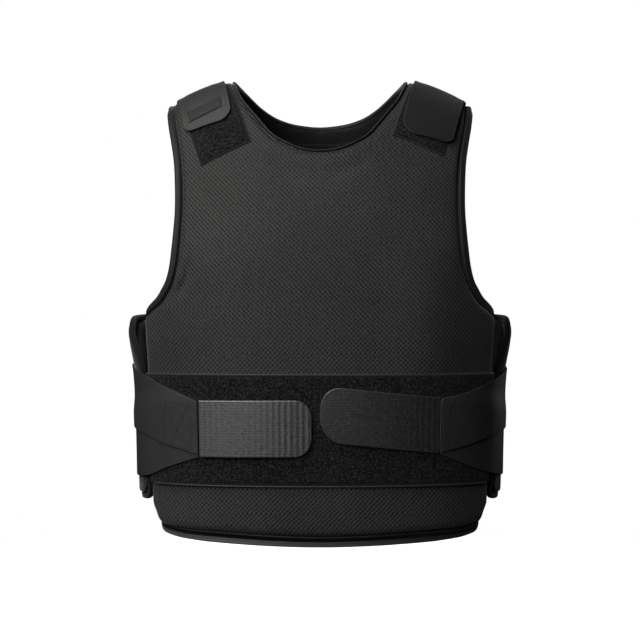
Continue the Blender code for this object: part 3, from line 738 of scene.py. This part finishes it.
def make_tapes(front, back, tape, hem_satin, wing_tape):
    hem = form(*thinned(front.hem, 60).T)
    hem_width = np.interp(hem[:, 0], (0, 98, 124, 156, 173, 180, 182), (10.4, 11, 10.8, 9.4, 7.2, 3.6, 1.8))
    line, widths = both_halves((hem * MIRROR)[::-1]), join([hem_width[:0:-1], hem_width])
    swept_tape("hem_tape", "front_hem_binding", line, widths, hem_satin, outward(line), 14, HEM_SECTION, 2.5)

    whole, normals, ridge = over_ridge(front.neck, back.neck, (270, 271), NECK_BRIDGE)
    for side, part in (("front", slice(ridge + LAP, None, -1)), ("back", slice(ridge - LAP, None))):
        line, turned = both_halves(whole[part]), both_halves(normals[part])
        if side == "back":
            line, turned = line[::-1], turned[::-1]
        swept_tape(f"{side}_neck_tape", f"{side}_neck_binding", line, np.full(len(line), 2.8), tape, turned, 12)

    outer = join([back.hem[::-1], back.outer[1:]])
    whole, normals, ridge = over_ridge(front.outer[front.outer[:, 1] > 1.4], outer, (245, 245), ARMHOLE_BRIDGE)
    line, turned = whole[: ridge + LAP], normals[: ridge + LAP]
    stops = (1.5, 9.3, 14, 18.5, 27.5, 75, 115, 225, 240, 247, 250)
    widths = np.interp(line[:, 2], stops, (3, 7.4, 9, 9.6, 9.8, 10.4, 9.4, 9.4, 10.4, 8.8, 7.0))
    swept_tape("armhole_tape_right", "front_armhole_binding_right", line, widths, tape, turned, 10)
    line, turned, widths = line[::-1] * MIRROR, turned[::-1] * MIRROR, widths[::-1]
    swept_tape("armhole_tape_left", "front_armhole_binding_left", line, widths, tape, turned, 10)
    line, turned = whole[ridge - LAP :], normals[ridge - LAP :]
    up = 1.3 * eased(5, -25, line[:, 2]) - 2.0 * eased(-176, -192, line[:, 2])
    line, turned = both_halves(line + up[:, None] * turned), both_halves(turned)
    swept_tape("back_edge_tape", "back_edge_binding", line, np.full(len(line), 7.0), wing_tape, turned, 12)


# ---- lining and band


def make_lining(back, material):
    """The smooth inner cloth of the back panel, which follows its inner face up to the neck tape."""
    stops = join([[0, 0.006, 0.014, 0.024], np.linspace(0.04, 1.0, 44)])
    rows = []
    for level in spaced_levels(back, 8)[1:-1]:
        start = back.start(level) - (1.0 if level > back.neck_levels[0] else 0.0)
        rows.append(back.row(level, start + stops * (back.end(level) + 9 - start)))
    flat = form(*np.moveaxis(np.array(rows), -1, 0))
    fall = rounded(distance_to(flat, form(*thinned(back.neck, 120).T)), EDGE_FALL)
    points = lifted(flat, 2.1 * fall + 2.2 * eased(0.93, 1.0, stops) - LINING_DEPTH)
    piece = laid_sheet(
        "back_inner_cloth", "back_lining", "lining_fabric", material, points, LINING_THICKNESS, halved=True,
    )


def band_end(front, height):
    """The reach of the front panel's side edge at a height of the waist band."""
    return front.end(1 + (height - BAND_FOOT) / (CHEST_HEIGHT - BAND_FOOT))


def make_band(front, material):
    """The band of loop pile sewn across the waist, with a firm selvedge along its top and its foot."""
    rows = []
    for height in BAND_FOOT + (BAND_TOP - BAND_FOOT) * rim_shares(BAND_TOP - BAND_FOOT, 40):
        end = band_end(front, height) - 4.0
        rows.append([(reach, height) for reach in np.linspace(-end, end, 170)])
    places = np.array(rows)
    reach, height = np.moveaxis(places, -1, 0)
    flat = form(reach, height)
    edge = form(*front.outer.T)
    near = np.minimum(distance_to(flat, edge), distance_to(flat, edge * MIRROR))
    rim = np.minimum(height - BAND_FOOT, BAND_TOP - height)
    ease = 0.35 * np.sin(reach / 23.0) * np.sin(height / 17.0 + 1) * eased(0, 12, rim)
    lift = LAYER_GAP + BAND_THICKNESS - EDGE_DROP * rounded(near, EDGE_FALL) - rim_turn(rim, 0.9) + ease
    laid_sheet(
        "waist_pile_band", "waist_loop_band", "loop_pile", material, lifted(flat, lift), BAND_THICKNESS,
        rim=rim, cloth=places,
    )


# ---- side straps


def elastic_rest(reach):
    on_band = LAYER_GAP + BAND_THICKNESS + LAYER_GAP
    return on_band + (LAYER_GAP - on_band) * eased(FRONT_REST_END, WING_REST_START, reach)


def elastic_lift(reach):
    """The height of the upper elastic's outer face above the form."""
    return elastic_rest(reach) + 2 * ELASTIC_THICKNESS + ELASTIC_GAP


def elastic_edges(side, reach):
    courses = np.array(FRONT_COURSE[side] + BACK_COURSE, float)
    return [smooth(courses[:, 0], courses[:, k], reach) for k in range(1, 5)]


def make_elastics(side, sign, material):
    """The two elastic webs of a side strap, the upper one over the lower."""
    start, end = FRONT_COURSE[side][0][0] + 1.0, BACK_COURSE[-1][0]
    reach = (start + (end - start) * rim_shares(end - start, 130))[:, None]
    top, foot, low_top, low_foot = elastic_edges(side, reach)
    across = rim_shares(60.0, 20)
    reaches = np.repeat(reach, len(across), axis=1)
    rest = elastic_rest(reaches) + ELASTIC_THICKNESS
    upper, lower = foot + across * (top - foot), low_foot + across * (low_top - low_foot)
    over = (ELASTIC_THICKNESS + ELASTIC_GAP) * (1 - eased(0, 26, upper - low_top))
    for name, heights, lift in (("upper", upper, rest + over), ("lower", lower, rest)):
        width = heights[:, -1:] - heights[:, :1]
        rim = np.minimum(width * np.minimum(across, 1 - across), reach - start)
        ease = 0.08 * np.sin(reaches / 15.0 + 0.05 * heights) * eased(3, 15, rim)
        laid_sheet(
            f"{name}_web_{side}", f"{name}_elastic_{side}", "elastic_webbing", material,
            lifted(form(sign * reaches, heights), lift - rim_turn(rim, 0.7) + ease), ELASTIC_THICKNESS,
            cloth=np.stack([reaches, heights - heights[:, -1:]], axis=-1), rim=rim,
        )


def rounded_half(half, corner, from_end):
    """A strip's half width near an end with round corners."""
    inside = np.sqrt(np.maximum(corner**2 - (corner - np.minimum(from_end, corner)) ** 2, 0))
    return np.where(from_end >= corner, half, half - corner + inside) if corner else np.full(np.shape(from_end), half)


def end_stops(length, corner, steps):
    """Distances from a strip's end, close together round its corners and next to both ends."""
    if not corner:
        return length * rim_shares(length, steps)
    turns = corner * (1 - np.cos(np.linspace(0, math.pi / 2, 16)))
    return join([turns[:-1], corner + (length - corner) * rim_shares(length - corner, steps)[len(RIM_STOPS) - 1 :]])


def corner_distance(from_end, across, half, corner):
    """How near a place is to the rim of a strip whose end has round corners."""
    inner = np.hypot(np.maximum(corner - from_end, 0), np.maximum(np.abs(across) - (half - corner), 0))
    round_corner = (from_end < corner) & (np.abs(across) > half - corner)
    return np.where(round_corner, corner - inner, np.minimum(half - np.abs(across), from_end))


def make_tab(side, sign, material):
    """The stiff tab at the end of a side strap, with ribs across it."""
    end_reach, root_reach, end_middle, root_middle, half_height, corner = TABS[side]
    left = side == "left"
    length = root_reach - end_reach
    from_end = end_stops(length, corner, 190)[:, None]
    across = rounded_half(half_height, corner, from_end) * (2 * rim_shares(2 * half_height, 22) - 1)
    heights = end_middle + from_end / length * (root_middle - end_middle) + across
    reaches = end_reach + np.repeat(from_end, across.shape[1], axis=1)
    rim = np.minimum(corner_distance(from_end, across, half_height, corner), length - from_end)
    strong = 0.35 + 0.65 * eased(80, 10, reaches) if left else 0.5 * eased(85, 125, reaches)
    ribs = 0.11 * strong * np.cos(2 * math.pi * reaches / TAB_RIB) * eased(1.5, 4, rim)
    arch = (1.8 if left else 0.4) * (1 - (1 - (reaches - end_reach) / length) ** 3)
    lift = LAYER_GAP + BAND_THICKNESS + LAYER_GAP + TAB_THICKNESS - rim_turn(rim, 1.0) + ribs + arch
    most = TAB_THICKNESS + arch.max()
    laid_sheet(
        f"ribbed_tab_{side}", f"hook_tab_{side}", "ribbed_tab", material,
        lifted(form(sign * reaches, heights), lift), most, ((TAB_THICKNESS + arch) / most).ravel(),
        rim=rim, ribbed=strong, cloth=np.stack([reaches, heights], axis=-1),
    )


# ---- shoulder straps


def over_shoulder(x, along):
    """The point of the form this far from the ridge at a half width, down the front, or the back where negative."""
    share = np.sin(np.linspace(math.pi / 2, 0.15, 60)) ** (2 / SHOULDER_ROLL)
    heights = CHEST_HEIGHT + (ridge_height(x) - CHEST_HEIGHT) * share
    spare = (1 - (abs(x) / half_width(heights)) ** ROUNDNESS) * np.maximum(1 - rise(x, heights) ** SHOULDER_ROLL, 0)
    depths = depth_at(heights, along <= 0) * spare ** (1 / ROUNDNESS)
    far = walked(np.stack([depths, heights], axis=1))
    depth, height = (np.interp(abs(along), far, values) for values in (depths, heights))
    return x, -depth if along > 0 else depth, height


def strip_point(shape, along, across, share):
    """The point of the form under a place of a strip over the shoulder, whose foot may run askew."""
    ridge_x, lean, _, _, end, skew, _ = shape
    x = ridge_x + lean * along * eased(-15, 15, along) + across
    return over_shoulder(x, along + skew * (1 + share) / 2 * eased(0, end, along))


def shoulder_rows(shape, rows, columns):
    """Points of the form under a strip over the shoulder, each with its along, across and distance to the rim."""
    _, _, half, start, end, _, corner = shape
    points, places = [], []
    from_end = end_stops(end - start, corner, rows)
    shares = 2 * rim_shares(2 * half, columns) - 1
    for down in from_end:
        width = float(rounded_half(half, corner, down))
        for share in shares:
            points.append(strip_point(shape, end - down, width * share, share))
            rim = float(corner_distance(down, width * share, half, corner)) if corner else half * (1 - abs(share))
            places.append((end - down, width * share, min(rim, down, end - start - down)))
    shaped = (len(from_end), len(shares), 3)
    return np.array(points).reshape(shaped), np.array(places).reshape(shaped)


def strap_rest(along):
    return SHOULDER_GAP + (PATCH_THICKNESS + SHOULDER_GAP) * eased(*STRAP_DROP, along)


def make_shoulder_strip(name, node, sign, shape, rest, thickness, slot, material, rows, columns, relief):
    points, places = shoulder_rows(shape, rows, columns)
    along, across, rim = np.moveaxis(places, -1, 0)
    lift = rest(along) + thickness - rim_turn(rim, min(thickness * 0.5, 0.9)) + relief(along, across, rim)
    points = lifted(points * (sign, 1, 1), lift)
    laid_sheet(name, node, slot, material, points, thickness, cloth=places[..., :2], rim=rim)


def strap_relief(along, across, rim):
    """The turned edge of a strap, the seam sunk inside it and slight folds over the shoulder."""
    folds = 0.25 * (1 + np.sin(along / 8.0 + across / 12.0)) * bump(45, 35, along)
    folds += 0.15 * (1 + np.sin(along / 17.0 - across / 9.0))
    full = 1.7 * np.clip(1 - (across / 25) ** 2, 0, 1) * bump(4, 48, along)
    return -0.16 * bump(3.2, 0.9, rim) + (folds * eased(12, 40, along) + full) * eased(4, 12, rim)


def pile_relief(along, across, rim):
    """The flat sewn border of a patch, below its pile."""
    return -0.6 * (1 - eased(2.6, 4.4, rim)) + 0.3 * bump(0.8, 0.8, rim)


def label_relief(along, across, rim):
    return -0.3 * bump(1.7, 0.8, rim)


def make_shoulder(side, sign, pile, strap):
    make_shoulder_strip(
        f"shoulder_pile_{side}", f"shoulder_patch_{side}", sign, SHOULDER_PATCHES[side],
        lambda along: SHOULDER_GAP, PATCH_THICKNESS, "loop_pile", pile, 60, 30, pile_relief,
    )
    make_shoulder_strip(
        f"over_shoulder_{side}", f"shoulder_strap_{side}", sign, SHOULDER_STRAPS[side], strap_rest,
        STRAP_THICKNESS, "strap_fabric", strap, 90, 30, strap_relief,
    )


def make_label(material):
    """The small sewn label on one strap, left bare."""
    rest = float(strap_rest(STRAP_LABEL[3])) + STRAP_THICKNESS + 0.3
    make_shoulder_strip(
        "bare_label", "strap_label", -1, STRAP_LABEL, lambda along: rest, LABEL_THICKNESS,
        "strap_fabric", material, 16, 26, label_relief,
    )


# ---- seams, stitches and piping


def spaced(line, pitch):
    """Points a pitch apart along a line of points."""
    line = np.asarray(line, float)
    length = walked(line)[-1]
    return resampled(line, np.linspace(0, length, max(int(round(length / pitch)), 2) + 1))


def sew(name, runs, material, half=0.28):
    """Rows of stitches: one rounded stitch is laid again and again along each run of points, in millimetres."""
    corners, faces = [], []
    for run in runs:
        points = spaced(run, STITCH_PITCH)
        for start, end, normal in zip(points[:-1], points[1:], outward(points)[:-1]):
            way = unit(end - start)
            side = np.cross(way, normal)
            first = len(corners)
            for share, size in STITCH_RINGS:
                middle = start + way * STITCH_LENGTH * share
                for turn in np.linspace(0, 2 * math.pi, 7)[:-1]:
                    corners.append(middle + half * size * (math.cos(turn) * side + 0.8 * math.sin(turn) * normal))
            for k in range(4):
                for j in range(6):
                    a, b = first + 6 * k + j, first + 6 * k + (j + 1) % 6
                    faces.append((a, b, b + 6, a + 6))
            faces.append(tuple(first + j for j in range(5, -1, -1)))
            faces.append(tuple(first + 24 + j for j in range(6)))
    mesh = bpy.data.meshes.new(name)
    mesh.from_pydata([tuple(c) for c in seated(corners)], [], faces)
    piece = bpy.data.objects.new(name, mesh)
    bpy.context.scene.collection.objects.link(piece)
    edit(piece, face_out)
    shade_smooth(piece, 80)
    finish_piece(piece, None, material)


def cording(name, line, radius, material, squash=1.0):
    """A thin round edge laid along a line of points, in millimetres, tapered shut at both ends."""
    line = spaced(line, 2.5)
    normals = outward(line)
    side = np.cross(unit(np.gradient(line, axis=0)), normals)
    from_end = np.minimum(np.arange(len(line)), np.arange(len(line))[::-1])
    size = radius * np.clip(from_end / 2 + 0.25, 0, 1)[:, None]
    turns = np.linspace(0, 2 * math.pi, 9)[:-1]
    rows = [line + size * (math.cos(t) * side + squash * math.sin(t) * normals) for t in turns]
    piece = laid_grid(name, np.stack(rows, axis=1), closed=True)
    shade_smooth(piece, 80)
    finish_piece(piece, None, material)


def on_web(sign, places):
    """Points just on an elastic's outer face, from reaches and heights."""
    dense = np.linspace(0, len(places) - 1, 60)
    reach, height = (np.interp(dense, np.arange(len(places)), row) for row in np.array(places, float).T)
    return lifted(form(sign * reach, height), elastic_lift(reach) + 0.15)


def sew_side_straps(thread, shadow_seam_cloth, lit_seam_cloth):
    """The boxed cross that sews each pair of elastics together, and the seam between them and the tab, drawn in
    near-black as painted shadow on the left and in the lighter edging cloth as a painted highlight on the right.
    """
    for side, sign in SIDES:
        reach = np.linspace(150, 250, 40)
        foot = elastic_edges(side, reach)[1]
        runs = [on_web(sign, line) for line in CROSS_STITCHES]
        runs.append(lifted(form(sign * reach, foot + 2.2), elastic_lift(reach) + 0.1))
        sew(f"web_stitches_{side}", runs, thread, 0.26)
        # painted light: the left seam sits deeper and wider in the near-black cloth as painted shadow, the right one in
        # the lighter edging cloth as its painted lit edge
        sunk, radius, material = (0.7, 1.5, shadow_seam_cloth) if side == "left" else (0.1, 0.85, lit_seam_cloth)
        _, top, foot, _, _ = FRONT_COURSE[side][0]
        reach = np.full(30, TABS[side][1] + 0.6)
        line = lifted(form(sign * reach, np.linspace(foot + 0.4, top - 0.4, 30)), elastic_lift(reach) - sunk)
        cording(f"tab_seam_{side}", line, radius, material, 0.7)


def trim_panels(front, back, edge_light, thread, painted_shade_black):
    """The band's selvedges, the wings' piping, a near-black cord of painted shadow in the groove above the hem, and the
    stitches along the tapes.
    """
    for name, height, short, low, lift in (("top", BAND_TOP, 5, 0, 1.9), ("foot", BAND_FOOT, 9, 0.9, 2.6)):
        end = band_end(front, height) - short
        reach = np.linspace(-end, end, 200)
        drop = EDGE_DROP * rounded(end + 2 - np.abs(reach), EDGE_FALL)
        line = lifted(form(reach, height - low), lift - drop)
        cording(f"band_selvedge_{name}", line, 0.9, edge_light)
    wing = back.outer[(back.outer[:, 1] > -180) & (back.outer[:, 1] < -6)]
    line = lifted(form(*thinned(wing, 80).T), -1.2)
    for side, sign in SIDES:
        cording(f"wing_piping_{side}", line * (sign, 1, 1), 0.9, edge_light)
    hem = form(*thinned(front.hem, 90).T)
    # a near-black cord sunk behind the hem tape's top edge: painted shadow in the groove
    seam, hem = (both_halves((hem[hem[:, 0] < end] * MIRROR)[::-1]) for end in (179, 166))
    seam[:, 2] += np.interp(np.abs(seam[:, 0]), (0, 150, 179), (-2.0, -1.9, -0.6))
    cording("hem_painted_shadow", lifted(seam, -3.6), 2.0, painted_shade_black)
    sew("hem_stitches", [lifted(hem + (0, 0, -6.4), -2.7)], thread)
    line = form(*thinned(front.outer[(front.outer[:, 1] > 12) & (front.outer[:, 1] < 238)], 90).T)
    normals = outward(line)
    run = line + 4.0 * unit(np.cross(np.gradient(line, axis=0), normals)) - 2.0 * normals
    sew("armhole_stitches", [run, run * MIRROR], thread)


def border(sign, shape, rest, inset, all_round=False):
    """A line set in from the rim of a strip over the shoulder, lifted onto its face."""
    _, _, half, start, end, _, corner = shape
    side, radius = half - inset, max(corner - inset, 0.6)
    top = end - start - inset if all_round else min(end - 8, end - start - 1)
    places = [(down, side) for down in np.linspace(top, inset + radius, 40)]
    for turn in np.linspace(0, math.pi / 2, 8)[1:]:
        places.append((inset + radius * (1 - math.sin(turn)), side - radius * (1 - math.cos(turn))))
    places += [(down, -across) for down, across in reversed(places)]
    if all_round:
        places.append(places[0])
    line = np.array([strip_point(shape, end - down, across, across / half) for down, across in places])
    return lifted(line * (sign, 1, 1), [float(rest(end - down)) for down, _ in places])


def sew_strips(thread):
    """The stitches round the shoulder patches and down the turned edges of the straps."""
    runs = []
    for side, sign in SIDES:
        runs.append(border(sign, SHOULDER_PATCHES[side], lambda along: SHOULDER_GAP + PATCH_THICKNESS - 0.45, 1.8))
        runs.append(border(sign, SHOULDER_STRAPS[side], lambda along: strap_rest(along) + STRAP_THICKNESS - 0.1, 4.2))
    runs.append(border(-1, STRAP_LABEL, lambda along: strap_rest(along) + STRAP_THICKNESS + 1.15, 1.7, True))
    sew("strip_stitches", runs, thread, 0.25)


# ---- finishes


class Value:
    """A value in a tree of nodes, which can be added to and multiplied."""

    def __init__(self, nodes, socket):
        self.nodes, self.socket = nodes, socket

    def __add__(self, other):
        return self.nodes.math("ADD", self, other)

    def __sub__(self, other):
        return self.nodes.math("SUBTRACT", self, other)

    def __mul__(self, other):
        return self.nodes.math("MULTIPLY", self, other)


class Nodes:
    """A workbench for a tree of nodes."""

    def __init__(self, tree):
        self.tree = tree

    def feed(self, node, inputs):
        for socket, value in inputs.items():
            if isinstance(value, Value):
                self.tree.links.new(value.socket, node.inputs[socket])
            else:
                node.inputs[socket].default_value = value

    def add(self, kind, inputs, out=0, **settings):
        made = setup(self.tree.nodes.new("ShaderNode" + kind), **settings)
        self.feed(made, inputs)
        return Value(self, made.outputs[out])

    def math(self, operation, *values):
        return self.add("Math", dict(enumerate(values)), operation=operation)


def grey(value, warm=0.0):
    return (value * (1 + warm), value, value * (1 - warm), 1.0)


class Mix(Nodes):
    """A workbench for one material's nodes."""

    def __init__(self, name, **shader):
        self.material = bpy.data.materials.new(name)
        self.material.use_nodes = True
        super().__init__(self.material.node_tree)
        self.shader = self.tree.nodes["Principled BSDF"]
        self.feed(self.shader, {socket.replace("_", " "): value for socket, value in shader.items()})
        self.place = self.add("TexCoord", {}, "Object")

    def attribute(self, name, out="Fac"):
        return self.add("Attribute", {}, out, attribute_name=name)

    def cloth(self):
        """How far along and how far up the cloth a place is."""
        parts = self.add("SeparateXYZ", {0: self.attribute("cloth", "Vector")})
        return parts, Value(self, parts.socket.node.outputs[1])

    def noise(self, scale, detail=3.0, rough=0.5, distortion=0.0):
        inputs = {"Scale": scale, "Detail": detail, "Roughness": rough, "Distortion": distortion}
        return self.add("TexNoise", {"Vector": self.place, **inputs})

    def wave(self, at, period, shift=0.0):
        """-1 to 1, once each period."""
        return self.math("COSINE", at * (2 * math.pi / period) + shift)

    def band(self, at, low, high, start=0.0, end=1.0):
        """A smooth step from start to end as at goes from low to high."""
        return self.add("MapRange", {0: at, 1: low, 2: high, 3: start, 4: end}, interpolation_type="SMOOTHSTEP")

    def tint(self, share, *colours):
        dark, light = (grey(colour) if isinstance(colour, float) else colour for colour in colours)
        return self.add("Mix", {0: share, 6: dark, 7: light}, 2, data_type="RGBA")

    def done(self, colour, roughness, height=None, depth=0.5, strength=0.6):
        self.feed(self.shader, {"Base Color": colour, "Roughness": roughness})
        if height:
            relief = self.add("Bump", {"Strength": strength, "Distance": depth * MM, "Height": height}, "Normal")
            self.feed(self.shader, {"Normal": relief})
        return self.material


def knit_finish():
    """Mesh cloth: small holes where two diagonal waves meet, one of them stronger here and the other there."""
    mix = Mix("mesh_knit", Sheen_Weight=0.3, Sheen_Roughness=0.4, Specular_IOR_Level=0.25)
    along, up = mix.cloth()
    wander = mix.noise(75.0, 2.0) * 0.7 + mix.noise(9.0, 2.0)
    along, up = along + wander * 2.4, up - wander * 1.8
    falling, rising = (mix.wave(at, KNIT_PERIOD) for at in (along * 1.03 + up, along * 1.03 - up))
    slant = mix.noise(7.0, 1.0) * 0.9 + mix.band(up, -150.0, 70.0, -0.2, 0.3)
    holes = (falling - rising) * mix.band(slant, 0.2, 0.8, 0.3, 0.75) + rising
    uneven = mix.noise(300.0, 2.0, 0.6) * 1.5 - 0.75
    fibre = mix.noise(900.0, 2.0)
    yarn = mix.tint(fibre * 0.7 + (mix.noise(14.0, 4.0, 0.6) * 0.8 - 0.4), 0.034, grey(0.078, 0.02))
    colour = mix.tint(mix.band(holes + uneven, -0.55, 1.15) * 0.95, yarn, 0.004)
    # painted shade along the seams: the colour is scaled down by the share noted on the panel
    seam = mix.attribute("seam_painted_shade") * -1.0 + 1.0
    colour = mix.add("VectorMath", {0: colour, "Scale": seam}, operation="SCALE")
    return mix.done(colour, fibre * 0.2 + 0.58, fibre * 0.25 - holes, 0.5, 0.35)


def smooth_cloth_finish(name, dark, light, scale=700.0, shine=0.35, rough=0.5, weave=0.0):
    mix = Mix(name, Sheen_Weight=0.15, Specular_IOR_Level=shine)
    fine = mix.noise(scale)
    if weave:
        along, up = mix.cloth()
        fine = mix.wave(along, weave) * mix.wave(up, 1.2 * weave) * 0.22 + fine
    share = fine * 0.9 + (mix.noise(18.0, 5.0, 0.6) * 0.7 - 0.3)
    return mix.done(mix.tint(share, dark, light), fine * 0.25 + (rough - 0.1), fine, 0.3)


def pile_finish():
    """Loop pile: pale curls on a dark ground, with a plain sewn border."""
    mix = Mix("loop_pile", Sheen_Weight=0.1, Specular_IOR_Level=0.15)
    tufts = mix.noise(560.0, 2.0, 0.6, 0.3)
    curls = mix.band(mix.noise(30.0) * 0.10 + tufts, 0.48, 0.68)
    share = curls * (mix.noise(1300.0, 2.0) * 0.9 + 0.55)
    rim = mix.attribute("rim")
    inside = mix.band(rim, 2.6, 3.4)
    plain = mix.tint(mix.band(rim, 0.6, 1.5), 0.034, 0.010)
    return mix.done(mix.tint(inside, plain, mix.tint(share, 0.002, 0.029)), 0.9, tufts * inside, 1.0, 0.8)


def web_finish():
    """Woven elastic: fine ribs along it, crossed by finer bars."""
    mix = Mix("elastic_web", Sheen_Weight=0.0, Specular_IOR_Level=0.35)
    along, up = mix.cloth()
    fine = mix.noise(650.0)
    share = fine * 0.9 + (mix.noise(22.0, 4.0, 0.6) * 0.6 - 0.25)
    height = mix.wave(up, 1.9) * 0.25 + (mix.wave(along, 1.3) * 0.12 + fine)
    return mix.done(mix.tint(share, 0.017, 0.050), fine * 0.2 + 0.45, height, 0.25)


def tab_finish(name, dark, light, ior=1.5, painted_light_slope=0.0):
    """A stiff woven tab with ribs across it, whose colour can be lightened towards its seam and darkened at its free
    end as painted light.
    """
    mix = Mix(name, Sheen_Weight=0.1, Specular_IOR_Level=1.0, IOR=ior)
    along, up = mix.cloth()
    ribs = mix.wave(along, TAB_RIB) * mix.attribute("ribbed")
    threads = mix.wave(along, TAB_RIB / 2, 0.6) * 0.8 + mix.wave(up, 3.05)
    fine = mix.noise(430.0, 2.0, 0.6)
    # painted light: the grain's share rises from the free end towards the seam, lighter where the light falls
    grain = threads * 0.03 + (fine * 2.8 - 0.9) + mix.band(mix.math("ABSOLUTE", along), 10.0, 140.0, -painted_light_slope, painted_light_slope)
    height = ribs * 0.8 + (threads * 0.1 + fine)
    return mix.done(mix.tint(ribs * 0.2 + grain, dark, light), fine * 0.2 + 0.35, height, 0.3, 0.4)


# ---- floor, light and camera


def make_stage():
    """A pale round floor well below the vest, in a white room that is darker on the right."""
    floor = added(
        "studio_floor", bpy.ops.mesh.primitive_circle_add, vertices=96, radius=1.5, fill_type="NGON",
        location=(0, 0.2, -0.70),
    )
    bpy.ops.object.transform_apply(location=True, rotation=True, scale=True)
    mix = Mix("pale_floor", Specular_IOR_Level=0.0)
    floor.data.materials.append(mix.done(mix.tint(mix.noise(3.0), 0.90, 0.94), 0.9))
    floor.visible_diffuse = floor.visible_glossy = False
    world = bpy.context.scene.world or bpy.data.worlds.new("studio")
    bpy.context.scene.world = world
    world.use_nodes = True
    world.node_tree.nodes.clear()
    studio = Nodes(world.node_tree)
    across = studio.add("SeparateXYZ", {0: studio.add("TexCoord", {}, "Generated")})
    strength = studio.add("MapRange", {0: across, 1: -0.9, 2: 0.7, 3: WORLD_LEFT, 4: WORLD_RIGHT})
    room, seen = (studio.add("Background", {0: WHITE, 1: bright}) for bright in (strength, 1.0))
    either = studio.add("MixShader", {0: studio.add("LightPath", {}, "Is Camera Ray"), 1: room, 2: seen})
    studio.feed(studio.tree.nodes.new("ShaderNodeOutputWorld"), {0: either})
    return floor


def make_lights_and_camera(floor):
    target = Vector((0, -0.1, -0.24))
    for name, place, size, power, colour in LIGHTS:
        lamp = added(name, bpy.ops.object.light_add, type="AREA", location=place)
        setup(lamp.data, shape="RECTANGLE", size=size[0], size_y=size[1], energy=power, color=colour)
        lamp.rotation_euler = (target - Vector(place)).to_track_quat("-Z", "Y").to_euler()
    over = added("floor_light", bpy.ops.object.light_add, type="SUN", location=(0, 0, 3))
    setup(over.data, energy=3.3, angle=0.5)
    only_floor = bpy.data.collections.new("lit_by_floor_light")
    only_floor.objects.link(floor)
    over.light_linking.receiver_collection = only_floor
    place, level = (0, -2.05, -0.248), (math.pi / 2, 0, 0)
    camera = added("photo_camera", bpy.ops.object.camera_add, location=place, rotation=level)
    setup(camera.data, sensor_width=36, lens=100.27)
    bpy.context.scene.camera = camera
    bpy.context.scene.view_settings.view_transform = "Standard"


# ---- the vest


def main():
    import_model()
    knit = knit_finish()
    inner = smooth_cloth_finish("inner_cloth", 0.006, 0.017, shine=0.2)
    tape = smooth_cloth_finish("satin_tape", 0.006, 0.016)
    hem_satin = smooth_cloth_finish("hem_satin", 0.006, 0.018, shine=0.55)
    wing_tape = smooth_cloth_finish("wing_tape", 0.004, 0.010, shine=0.15, rough=0.7)
    # lit and shaded copies of one strap cloth: the left one lighter and shinier as painted light, the right one darker
    # as painted shade
    straps = {
        "left": smooth_cloth_finish("strap_cloth_left", 0.014, 0.036, 620.0, 0.45, weave=1.3),
        "right": smooth_cloth_finish("strap_cloth_right", 0.007, 0.019, 620.0, weave=1.3),
    }
    label = smooth_cloth_finish("label_cloth", 0.008, 0.019, 900.0, weave=0.9)
    edge_light = smooth_cloth_finish("light_edging", 0.017, 0.030, shine=0.5)
    thread = smooth_cloth_finish("thread", 0.006, 0.014, 1500.0, shine=0.2)
    # near-black cloth of painted shade, for the panels' seam walls, the cord above the hem and the left tab seam
    painted_shade_black = smooth_cloth_finish("painted_shade_black", 0.001, 0.002, shine=0.0, rough=0.9)
    pile, web = pile_finish(), web_finish()
    # lit and shaded copies of one tab cloth: the left one lighter, shinier and lightened towards its seam as painted
    # light, the right one darker as painted shade
    tabs = {
        "left": tab_finish("tab_ribs_left", 0.012, 0.046, 1.7, 0.22),
        "right": tab_finish("tab_ribs_right", 0.007, 0.025),
    }
    front, back = front_half(), back_half()
    make_panel("front_shell", "front_panel", front, 4.8, 40, (knit, inner, painted_shade_black), shape_chest)
    make_panel("back_shell", "back_panel", back, 6.1, 52, (knit, inner, painted_shade_black))
    make_tapes(front, back, tape, hem_satin, wing_tape)
    make_lining(back, inner)
    make_band(front, pile)
    for side, sign in SIDES:
        make_elastics(side, sign, web)
        make_tab(side, sign, tabs[side])
        make_shoulder(side, sign, pile, straps[side])
    make_label(label)
    sew_side_straps(thread, painted_shade_black, edge_light)
    trim_panels(front, back, edge_light, thread, painted_shade_black)
    sew_strips(thread)
    make_lights_and_camera(make_stage())


main()
